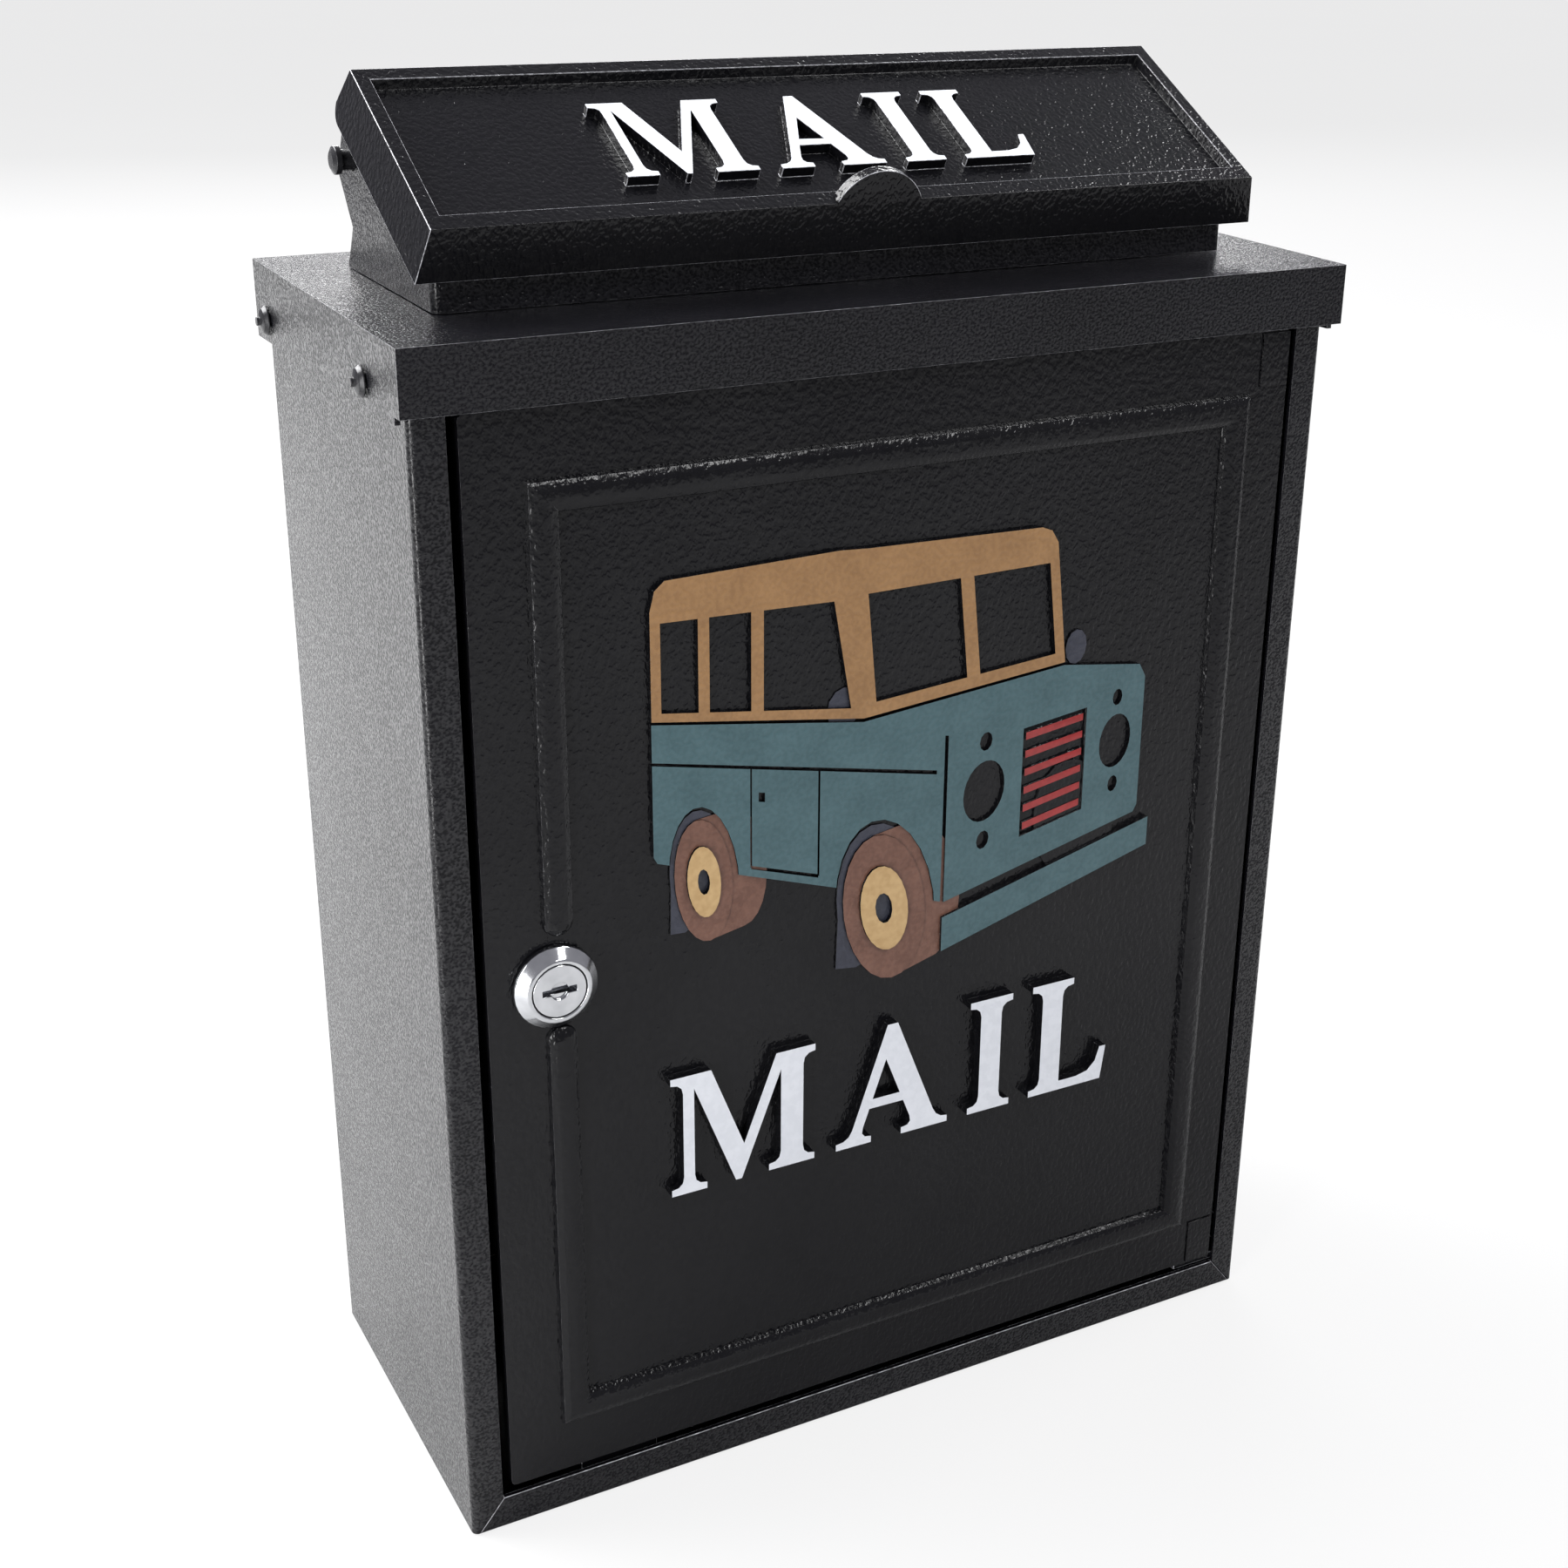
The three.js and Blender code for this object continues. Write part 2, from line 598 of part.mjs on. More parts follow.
// An angle bracket on the box's side wall that carries a door pin. The leg goes up the wall.
function hingeLug(z) {
  const { innerX, back, thickness, leg } = HINGE_LUG;
  const wall = BODY.halfWidth - SHEET - GAP;
  const behind = -BODY.depth + SHEET + GAP;
  const plate = box(innerX, wall, behind, back, z, z + thickness);
  const upright = box(wall - SHEET, wall, behind, back, z, z + leg);
  const at = new THREE.Vector3(HINGE.x, HINGE.y, 0);
  return plate.add(upright).subtract(rod(Z_AXIS, at, PIN.radius + GAP, z - 1, z + thickness + 1));
}

// ---- raised lettering ---------------------------------------------------------------------------

const STROKE = { thick: 0.19, serif: 0.1, slab: 0.055, bracket: 0.09 };

// The outlines of the word, each letter a shape with its foot on the baseline and a cap height of 1.
const GLYPHS = {
  M: { width: 1.2, draw: drawM },
  A: { width: 1, draw: drawA },
  I: { width: STROKE.thick + 2 * STROKE.serif, draw: drawI },
  L: { width: 0.74, draw: drawL },
};

// Draws a serif's bracket: from the slab's corner side to the stem, or back when it starts on the stem.
function bracketIn(shape, stemX, z) {
  const { slab, bracket } = STROKE;
  if (z < 0.5) shape.quadraticCurveTo(stemX, slab, stemX, slab + bracket);
  else shape.quadraticCurveTo(stemX, 1 - slab, stemX, 1 - slab - bracket);
}

function bracketOut(shape, stemX, endX, z) {
  const { slab } = STROKE;
  if (z < 0.5) shape.quadraticCurveTo(stemX, slab, endX, slab);
  else shape.quadraticCurveTo(stemX, 1 - slab, endX, 1 - slab);
}

function drawI(shape) {
  const { thick, serif, slab, bracket } = STROKE;
  const [x0, x1, end] = [serif, serif + thick, thick + 2 * serif];
  shape.moveTo(0, 0);
  shape.lineTo(end, 0);
  shape.lineTo(end, slab);
  bracketIn(shape, x1, 0);
  shape.lineTo(x1, 1 - slab - bracket);
  bracketOut(shape, x1, end, 1);
  shape.lineTo(end, 1);
  shape.lineTo(0, 1);
  shape.lineTo(0, 1 - slab);
  bracketIn(shape, x0, 1);
  shape.lineTo(x0, slab + bracket);
  bracketOut(shape, x0, 0, 0);
}

function drawL(shape) {
  const { thick, serif, slab, bracket } = STROKE;
  const [x0, x1, end] = [serif, serif + thick, thick + 2 * serif];
  const arm = 0.7;
  const armTop = 0.3;
  const armThick = 0.08;
  shape.moveTo(0, 0);
  shape.lineTo(arm, 0);
  shape.lineTo(arm + 0.04, armTop);
  shape.lineTo(arm - 0.02, armTop);
  shape.quadraticCurveTo(arm - 0.05, armThick, arm - 0.24, armThick);
  shape.lineTo(x1, armThick);
  shape.lineTo(x1, 1 - slab - bracket);
  bracketOut(shape, x1, end, 1);
  shape.lineTo(end, 1);
  shape.lineTo(0, 1);
  shape.lineTo(0, 1 - slab);
  bracketIn(shape, x0, 1);
  shape.lineTo(x0, slab + bracket);
  bracketOut(shape, x0, 0, 0);
}

function drawA(shape) {
  const { slab, bracket } = STROKE;
  const leftAt = (z, inset) => 0.11 + inset + 0.349 * (z - slab);
  const rightAt = (z, inset) => 0.905 - inset - 0.397 * (z - slab);
  const thin = 0.095;
  const thick = 0.215;
  const [barLow, barHigh] = [0.3, 0.38];
  const foot = slab + bracket;
  shape.moveTo(0, 0);
  shape.lineTo(0.31, 0);
  shape.lineTo(0.31, slab);
  shape.quadraticCurveTo(leftAt(slab, thin), slab, leftAt(foot, thin), foot);
  shape.lineTo(leftAt(barLow, thin), barLow);
  shape.lineTo(rightAt(barLow, thick), barLow);
  shape.lineTo(rightAt(foot, thick), foot);
  shape.quadraticCurveTo(rightAt(slab, thick), slab, 0.58, slab);
  shape.lineTo(0.58, 0);
  shape.lineTo(1, 0);
  shape.lineTo(1, slab);
  shape.quadraticCurveTo(rightAt(slab, 0), slab, rightAt(foot, 0), foot);
  shape.lineTo(rightAt(1, 0), 1);
  shape.lineTo(leftAt(1, 0), 1);
  shape.lineTo(leftAt(foot, 0), foot);
  shape.quadraticCurveTo(leftAt(slab, 0), slab, 0, slab);
  const meet = (0.905 - thick - 0.11 - thin) / (0.349 + 0.397) + slab;
  shape.holes.push(new THREE.Path([
    new THREE.Vector2(leftAt(barHigh, thin), barHigh),
    new THREE.Vector2(leftAt(meet, thin), meet),
    new THREE.Vector2(rightAt(barHigh, thick), barHigh),
  ]));
}

function drawM(shape) {
  const { slab, bracket, thick } = STROKE;
  const steep = 0.7 / 0.27;
  const [thinIn, thickIn, thickOut] = [0.19, 0.91, 0.91 + thick];
  shape.moveTo(0, 0);
  shape.lineTo(0.29, 0);
  shape.lineTo(0.29, slab);
  bracketIn(shape, thinIn, 0);
  shape.lineTo(thinIn, (0.53 - thinIn) * steep);
  shape.lineTo(0.53, 0);
  shape.lineTo(0.58, 0);
  shape.lineTo(thickIn, (thickIn - 0.58) * steep);
  shape.lineTo(thickIn, slab + bracket);
  bracketOut(shape, thickIn, 0.81, 0);
  shape.lineTo(0.81, 0);
  shape.lineTo(1.2, 0);
  shape.lineTo(1.2, slab);
  bracketIn(shape, thickOut, 0);
  shape.lineTo(thickOut, 1 - slab - bracket);
  bracketOut(shape, thickOut, 1.2, 1);
  shape.lineTo(1.2, 1);
  shape.lineTo(0.87, 1);
  shape.lineTo(0.6, 0.3);
  shape.lineTo(0.33, 1);
  shape.lineTo(0, 1);
  shape.lineTo(0, 1 - slab);
  bracketIn(shape, 0.1, 1);
  shape.lineTo(0.1, slab + bracket);
  bracketOut(shape, 0.1, 0, 0);
}

// The word's letters in a row, scaled to their cap height. Each shape keeps its foot on y = 0.
function word({ height, left, gap }) {
  let x = left;
  return ['M', 'A', 'I', 'L'].map((letter) => {
    const { width, draw } = GLYPHS[letter];
    const unit = new THREE.Shape();
    draw(unit);
    const place = ({ x: a, y: b }) => new THREE.Vector2(x + a * height, b * height);
    const { shape, holes } = unit.extractPoints(3);
    const placed = new THREE.Shape(withoutRepeats(shape).map(place));
    placed.holes = holes.map((hole) => new THREE.Path(withoutRepeats(hole).map(place)));
    x += width * height + gap;
    return placed;
  });
}

function withoutRepeats(points) {
  return points.filter((p, i) => p.distanceTo(points[(i + 1) % points.length]) > 1e-5);
}

// ---- relief of a plain van ----------------------------------------------------------------------

// A point of the van on the door's face: l along it (0 at the front), a across its front, h above the sill.
function vanPoint(l, a, h) {
  const sideways = l * Math.cos(VAN.turn) + a * Math.sin(VAN.turn);
  const away = a * Math.cos(VAN.turn) - l * Math.sin(VAN.turn);
  const scale = (VAN.scale * VAN.distance) / (VAN.distance + away);
  return [VAN.x + sideways * scale, VAN.z + (h - VAN.eye) * scale];
}

const onSide = (l, h) => vanPoint(l, 0, h);
const onFront = (a, h) => vanPoint(0, a, h);

// A circle on the van's side or front.
function disc(place, centre, h, radius, steps = 24) {
  const points = [];
  for (let i = 0; i < steps; i += 1) {
    const angle = (2 * Math.PI * i) / steps;
    points.push(place(centre + radius * Math.cos(angle), h + radius * Math.sin(angle)));
  }
  return points;
}

function panel(place, a0, a1, h0, h1) {
  return [place(a0, h0), place(a1, h0), place(a1, h1), place(a0, h1)];
}

const BODYWORK = { rear: -180, across: 92, waist: 50, roof: 98, screenFoot: -42, screenHead: -50 };
const WHEELS = { ls: [-30, -142], h: -4, radius: 21.5, hub: 12.5, centre: 4.5, arch: 26, width: 14 };
const LAMPS = { inset: 15, h: 27, radius: 8.5, small: 2.6, smallOffset: 14 };
const GRILLE = { from: 31, to: 61, low: 9, high: 41, bars: 6 };
const DOORWAY = { rear: -108, front: -66, low: 3, high: 36 };
const GROOVE = 0.55;
const FLOOR = 0.2; // what is cut into the relief stops this far above the door's face

function raised(points, height) {
  return front(polygon(points), DOOR_FACE - 0.5, DOOR_FACE + height);
}

function sunk(points) {
  return front(polygon(points), DOOR_FACE + FLOOR, DOOR_FACE + 5);
}

function vanBody() {
  const { rear, across, waist, screenFoot } = BODYWORK;
  const outline = [
    onSide(rear, 2), onSide(rear + 3, 0), onSide(0, 0), onFront(across - 2, 0), onFront(across, 2),
    onFront(across, waist - 5), vanPoint(-3, across, waist - 1), vanPoint(screenFoot, across, waist),
    vanPoint(screenFoot, 0, waist), onSide(rear, waist),
  ];
  const { ls, h, arch } = WHEELS;
  const cuts = ls.map((l) => disc(onSide, l, h, arch));
  const { inset, h: lampH, radius, small, smallOffset } = LAMPS;
  for (const a of [inset, across - inset]) {
    cuts.push(disc(onFront, a, lampH, radius));
    cuts.push(disc(onFront, a, lampH + smallOffset, small, 10));
    cuts.push(disc(onFront, a, lampH - smallOffset, small, 10));
  }
  const { from, to, low, high } = GRILLE;
  cuts.push(panel(onFront, from, to, low, high));
  const door = DOORWAY;
  const [g, belt] = [GROOVE, door.high];
  cuts.push(panel(onSide, rear - 1, -5, belt - g, belt + g));
  cuts.push(panel(onSide, -1.6, 0, -1, waist - 4));
  cuts.push(panel(onSide, door.rear - g, door.rear + g, door.low, belt));
  cuts.push(panel(onSide, door.front - g, door.front + g, door.low, belt));
  cuts.push(panel(onSide, door.rear, door.front, door.low - g, door.low + g));
  cuts.push(panel(onSide, door.rear + 5, door.rear + 9, 25, 28));
  return cut(raised(outline, RELIEF.body), cuts.map(sunk));
}

function vanCabin() {
  const { rear, across, waist, roof, screenFoot, screenHead } = BODYWORK;
  const low = waist + 2 * GROOVE;
  const screenPoint = (a, share) => (
    vanPoint(screenFoot + (screenHead - screenFoot) * share, a, low + (roof - low) * share)
  );
  const outline = [
    onSide(rear, low), onSide(screenFoot, low), screenPoint(across, 0), screenPoint(across, 0.88),
    screenPoint(across - 3, 0.97), screenPoint(across - 8, 1), screenPoint(6, 1.01),
    onSide(screenHead - 6, roof + 1), onSide(rear + 12, roof + 1), onSide(rear + 4, roof - 2),
    onSide(rear, roof - 9),
  ];
  const pane = (a0, a1) => panel(screenPoint, a0, a1, 0.08, 0.74);
  const [sill, head] = [low + 3, roof - 13];
  const windows = [
    pane(5, across / 2 - 3),
    pane(across / 2 + 3, across - 5),
    panel(onSide, rear + 8, rear + 36, sill, head),
    panel(onSide, rear + 44, rear + 72, sill, head),
    [
      onSide(rear + 80, sill), onSide(screenFoot - 7, sill), onSide(screenHead - 9, head),
      onSide(rear + 80, head),
    ],
  ];
  return cut(raised(outline, RELIEF.cabin), windows.map(sunk));
}

function vanWheel(l) {
  const { h, radius, hub, centre, width } = WHEELS;
  const inside = (a, b) => vanPoint(a, width, b);
  const tread = [inside, onSide].map((place) => raised(disc(place, l, h, radius), RELIEF.tread));
  const wheel = union([
    wasm.Manifold.hull(tread),
    raised(disc(onSide, l, h, radius), RELIEF.tyre),
    raised(disc(onSide, l, h, hub), RELIEF.hub),
  ]);
  return wheel.subtract(sunk(disc(onSide, l, h, centre, 12)));
}

function vanRelief() {
  const { across, waist, screenFoot } = BODYWORK;
  const { ls, h, arch, radius } = WHEELS;
  const guards = ls.map((l) => [
    ...disc(onSide, l, h, arch - 1.4).slice(0, 14),
    onSide(l - arch + 1.4, h - 22),
    onSide(l - arch + 13, h - 20),
  ]);
  const { from, to, low, high, bars } = GRILLE;
  const pitch = (high - low) / bars;
  const farWheel = disc((a, b) => vanPoint(a, across - 3, b), ls[0], h, radius);
  const pieces = [
    raised(farWheel, RELIEF.tread),
    ...guards.map((points) => raised(points, RELIEF.guard)),
    vanBody(),
    vanCabin(),
    ...ls.map(vanWheel),
    raised(disc((a, b) => vanPoint(screenFoot, a, b), -7, waist + 5, 6, 12), RELIEF.guard),
    raised(disc((a, b) => vanPoint(screenFoot, a, b), across + 7, waist + 5, 6, 12), RELIEF.guard),
  ];
  for (let i = 0; i < bars; i += 1) {
    const at = low + pitch * (i + 0.3);
    pieces.push(raised(panel(onFront, from + 1.5, to - 1.5, at, at + pitch * 0.4), RELIEF.bar));
  }
  const bumper = panel((a, b) => vanPoint(4, a, b), -4, across + 2, -12, -2.5);
  pieces.push(raised(bumper, RELIEF.bumper));
  return union(pieces);
}

// ---- cam lock -----------------------------------------------------------------------------------

// Lock distances run forward from the door's front face, along the lock's axis.
const LOCK_AT = new THREE.Vector3(LOCK.x, -DOOR_FACE, LOCK.z);

function lockHousing() {
  const { flangeRadius: r, rimHeight, faceRadius, proud, barrelRadius, barrelBack, plugRadius } = LOCK;
  const bore = plugRadius + GAP;
  return turned([
    [bore, barrelBack], [barrelRadius, barrelBack], [barrelRadius, GAP], [r, GAP], [r, rimHeight],
    [faceRadius, proud], [bore, proud],
  ], FORWARD, LOCK_AT, 32);
}

function lockNut() {
  const { nutAcrossFlats, nutThickness, barrelRadius } = LOCK;
  const back = -DOOR.thickness - GAP;
  const hex = rod(FORWARD, LOCK_AT, nutAcrossFlats / Math.sqrt(3), back - nutThickness, back, 6);
  return hex.subtract(rod(FORWARD, LOCK_AT, barrelRadius + GAP, back - nutThickness - 1, back + 1));
}

const STUB_RADIUS = 3.5;

function lockPlug() {
  const { plugRadius: r, proud, barrelBack } = LOCK;
  const back = CAM.hubPlane + GAP;
  const stubEnd = CAM.hubPlane - CAM.thickness + 0.2;
  const body = turned([
    [0, stubEnd], [STUB_RADIUS, stubEnd], [STUB_RADIUS, back], [r, back], [r, proud - 0.2], [0, proud - 0.2],
  ], FORWARD, LOCK_AT, 32);
  const slotDepth = -DOOR_FACE - proud - 1;
  const { width, height, depth, eyeRadius, eyeDepth } = KEYWAY;
  const slot = box(LOCK.x - width / 2, LOCK.x + width / 2, slotDepth, -DOOR_FACE - proud + depth,
    LOCK.z - height / 2, LOCK.z + height / 2);
  const eye = rod(FORWARD, LOCK_AT, eyeRadius, proud - eyeDepth, proud + 1);
  const screwHole = rod(FORWARD, LOCK_AT, 2, stubEnd - 1, barrelBack + 5, 16);
  return cut(body, [slot, eye, screwHole]);
}

// The cam is cranked forward around the nut. It hangs down when the lock is open.
function lockCam() {
  const { width, hubTop, crankStart, crankEnd, length, thickness: t, hubPlane, tipPlane } = CAM;
  const bend = 0.6 * t; // how much lower the crank's back face is
  const sideView = polygon([
    [hubTop, hubPlane - t], [-crankStart - bend, hubPlane - t], [-crankEnd - bend, tipPlane - t],
    [-length, tipPlane - t], [-length, tipPlane], [-crankEnd, tipPlane], [-crankStart, hubPlane],
    [hubTop, hubPlane],
  ]);
  const geometry = new THREE.ExtrudeGeometry(sideView, { depth: width, bevelEnabled: false });
  geometry.translate(0, 0, -width / 2);
  geometry.applyMatrix4(new THREE.Matrix4().makeBasis(Z_AXIS, FORWARD, X_AXIS));
  geometry.translate(LOCK_AT.x, LOCK_AT.y, LOCK_AT.z);
  const blade = solid(geometry);
  return blade.subtract(rod(FORWARD, LOCK_AT, STUB_RADIUS + GAP, hubPlane - t - 1, hubPlane + 1));
}

const WASHER = { radius: 6, bore: 2.2, front: CAM.hubPlane - CAM.thickness - GAP, thickness: 0.9 };

function camWasher() {
  const { radius, bore, front: f, thickness } = WASHER;
  return turned([[bore, f - thickness], [radius, f - thickness], [radius, f], [bore, f]], FORWARD, LOCK_AT);
}

function camScrew() {
  const { headRadius: r, headHeight, shankRadius } = CAM_SCREW;
  const seat = WASHER.front - WASHER.thickness - GAP;
  const top = seat - headHeight;
  const tip = LOCK.barrelBack + 4;
  const profile = [
    [0, top], [0.7 * r, top], [r, top + 1], [r, seat], [shankRadius, seat], [shankRadius, tip], [0, tip],
  ];
  return turned(profile, FORWARD, LOCK_AT, 16);
}

// ---- finishes and assembly ----------------------------------------------------------------------

const FINISHES = {
  sheet: new THREE.MeshStandardMaterial({ color: 0x17181b, roughness: 0.38, metalness: 0 }),
  casting: new THREE.MeshStandardMaterial({ color: 0x191a1d, roughness: 0.42, metalness: 0 }),
  rivet: new THREE.MeshStandardMaterial({ color: 0x131416, roughness: 0.35, metalness: 0.1 }),
  steel: new THREE.MeshStandardMaterial({ color: 0x8d9094, roughness: 0.35, metalness: 1 }),
  chrome: new THREE.MeshStandardMaterial({ color: 0xd6d8dc, roughness: 0.12, metalness: 1 }),
};

const group = new THREE.Group();
group.position.z = -(FIXING.lowZ + FIXING.highZ) / 2;

function add(name, body, finish) {
  const mesh = new THREE.Mesh(geometryOf(body), FINISHES[finish]);
  mesh.name = name;
  group.add(mesh);
}

add('body_wrap', bodyWrap(), 'sheet');
add('floor_tray', floorTray(), 'sheet');
add('roof_cap', roofCap(), 'sheet');
RIVET.ys.forEach((y, i) => {
  const row = ['back', 'front'][i];
  add(`cap_rivet_left_${row}`, capRivet(-1, y), 'rivet');
  add(`cap_rivet_right_${row}`, capRivet(1, y), 'rivet');
});
add('chute_neck', chuteNeck(), 'sheet');
add('lid_rod', lidRod(), 'rivet');
add('rod_cap_left', rodCap(-1), 'rivet');
add('rod_cap_right', rodCap(1), 'rivet');
add('lid_casting', lidCasting(), 'casting');

const lugLowZ = DOOR.bottom - HINGE_LUG.clearLow - HINGE_LUG.thickness;
const lugHighZ = DOOR.top + HINGE_LUG.clearHigh;
add('hinge_lug_lower', hingeLug(lugLowZ), 'sheet');
add('hinge_lug_upper', hingeLug(lugHighZ), 'sheet');
add('door_casting', doorCasting(), 'casting');
add('door_pin_lower', doorPin(lugLowZ - PIN.proud, DOOR.bottom + PIN.reach), 'steel');
add('door_pin_upper', doorPin(DOOR.top - PIN.reach, lugHighZ + HINGE_LUG.thickness + PIN.proud), 'steel');
add('lock_housing', lockHousing(), 'chrome');
add('lock_nut', lockNut(), 'steel');
add('lock_plug', lockPlug(), 'chrome');
add('lock_cam', lockCam(), 'steel');
add('cam_washer', camWasher(), 'steel');
add('cam_screw', camScrew(), 'steel');

export default group;
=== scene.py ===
"""The wall mounted mailbox, its edges softened, in powder coat, enamels and plating, in a plain studio.

Metres, +Z up. The wall is the plane y = 0, the front faces -Y, and the origin lies between the four
wall fixings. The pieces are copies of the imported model's. The slope of the lid and the heights of the
door's relief repeat the part's own sizes, so that the script can tell what to paint.
"""

import json
import logging
import math
from dataclasses import dataclass, field
from enum import Enum

import bmesh
import bpy
from mathutils import Euler, Matrix, Vector

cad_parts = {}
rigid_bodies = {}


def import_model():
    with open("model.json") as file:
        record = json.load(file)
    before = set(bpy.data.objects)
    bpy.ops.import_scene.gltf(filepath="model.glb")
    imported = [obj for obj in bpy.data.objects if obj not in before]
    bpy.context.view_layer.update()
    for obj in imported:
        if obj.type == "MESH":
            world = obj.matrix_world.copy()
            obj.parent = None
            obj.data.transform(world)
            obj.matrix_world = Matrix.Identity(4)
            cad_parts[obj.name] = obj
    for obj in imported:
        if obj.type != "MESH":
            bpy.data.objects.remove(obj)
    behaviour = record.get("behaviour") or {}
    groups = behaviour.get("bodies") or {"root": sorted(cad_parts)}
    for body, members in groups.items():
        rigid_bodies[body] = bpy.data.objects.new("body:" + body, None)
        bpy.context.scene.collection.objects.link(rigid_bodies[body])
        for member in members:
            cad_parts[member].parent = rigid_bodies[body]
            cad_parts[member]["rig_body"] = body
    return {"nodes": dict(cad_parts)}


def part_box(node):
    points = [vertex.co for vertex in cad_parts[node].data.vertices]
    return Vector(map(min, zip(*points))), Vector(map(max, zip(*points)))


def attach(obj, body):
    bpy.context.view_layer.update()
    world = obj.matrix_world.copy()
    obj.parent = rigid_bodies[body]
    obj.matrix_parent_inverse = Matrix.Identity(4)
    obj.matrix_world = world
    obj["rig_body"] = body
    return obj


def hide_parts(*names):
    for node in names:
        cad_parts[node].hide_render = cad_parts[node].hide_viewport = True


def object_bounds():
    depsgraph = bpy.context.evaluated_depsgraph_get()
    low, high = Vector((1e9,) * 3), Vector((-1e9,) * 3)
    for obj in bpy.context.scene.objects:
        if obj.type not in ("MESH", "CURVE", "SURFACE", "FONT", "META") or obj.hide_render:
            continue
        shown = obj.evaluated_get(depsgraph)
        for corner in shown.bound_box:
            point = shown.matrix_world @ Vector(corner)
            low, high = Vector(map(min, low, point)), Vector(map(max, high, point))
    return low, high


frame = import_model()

CAD_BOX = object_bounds()
LOG = logging.getLogger("mailbox")

Colour = tuple[float, float, float]
Piece = bpy.types.Object
Socket = bpy.types.NodeSocket

# How squarely a face looks along a direction, as a cosine, before it counts as facing it.
FACING = 0.9


# ---- node trees ---------------------------------------------------------------------------------


class Bench:
    """Places nodes in one node tree, sets them and joins them."""

    # A Mix node's number and colour sockets share their names, so the colour ones go by position.
    FIRST_COLOUR = 6
    SECOND_COLOUR = 7
    MIXED_COLOUR = 2

    def __init__(self, tree: bpy.types.NodeTree) -> None:
        """Keep the tree that the nodes go into.

        Args:
            tree: a material's, the world's or a group's node tree.
        """
        self.tree = tree

    def add(
        self, kind: str, values: dict[str, object] | None = None, **settings: object
    ) -> bpy.types.Node:
        """Place a node.

        Args:
            kind: the node's type.
            values: its unlinked sockets, by name.
            settings: its properties, by name.

        Returns:
            The node.
        """
        node = self.tree.nodes.new(kind)
        for name, value in settings.items():
            setattr(node, name, value)
        for name, value in (values or {}).items():
            node.inputs[name].default_value = value
        return node

    def join(self, source: Socket, target: Socket) -> None:
        """Link an output to an input."""
        self.tree.links.new(source, target)

    def feed(self, socket: Socket, value: Socket | Colour | float) -> None:
        """Link an input to a socket, or set it to a colour or a number.

        Args:
            socket: the input.
            value: what it gets. A colour is opaque.
        """
        if isinstance(value, bpy.types.NodeSocket):
            self.join(value, socket)
        elif isinstance(value, tuple):
            socket.default_value = (*value, 1.0)
        else:
            socket.default_value = value

    def maths(self, operation: str, first: Socket | float, second: Socket | float) -> Socket:
        """Combine two values.

        Args:
            operation: the Math node's operation.
            first: a socket or a number.
            second: a socket or a number.

        Returns:
            The result's socket.
        """
        node = self.add("ShaderNodeMath", operation=operation)
        for socket, value in zip(node.inputs, (first, second)):
            self.feed(socket, value)
        return node.outputs["Value"]

    def blend(self, share: Socket, first: Socket | Colour, second: Socket | Colour) -> Socket:
        """Mix two colours.

        Args:
            share: the second colour's share, from 0 to 1.
            first: a socket or a colour.
            second: a socket or a colour.

        Returns:
            The mixed colour's socket.
        """
        node = self.add("ShaderNodeMix", data_type="RGBA")
        self.join(share, node.inputs["Factor"])
        self.feed(node.inputs[self.FIRST_COLOUR], first)
        self.feed(node.inputs[self.SECOND_COLOUR], second)
        return node.outputs[self.MIXED_COLOUR]

    def choose(self, share: Socket, first: Socket, second: Socket) -> Socket:
        """Mix two shaders.

        Args:
            share: the second shader's share, from 0 to 1.
            first: a shader's socket.
            second: a shader's socket.

        Returns:
            The mixed shader's socket.
        """
        node = self.add("ShaderNodeMixShader")
        for socket, value in zip(node.inputs, (share, first, second)):
            self.join(value, socket)
        return node.outputs["Shader"]


def new_group(name: str, inputs: dict[str, str], outputs: dict[str, str]) -> Bench:
    """Start a shader node group with named sockets.

    Args:
        name: the group's name.
        inputs: socket types by socket name.
        outputs: socket types by socket name.

    Returns:
        A bench for the group's tree.
    """
    tree = bpy.data.node_groups.new(name, "ShaderNodeTree")
    for label, kind in inputs.items():
        tree.interface.new_socket(label, in_out="INPUT", socket_type=kind)
    for label, kind in outputs.items():
        tree.interface.new_socket(label, in_out="OUTPUT", socket_type=kind)
    return Bench(tree)


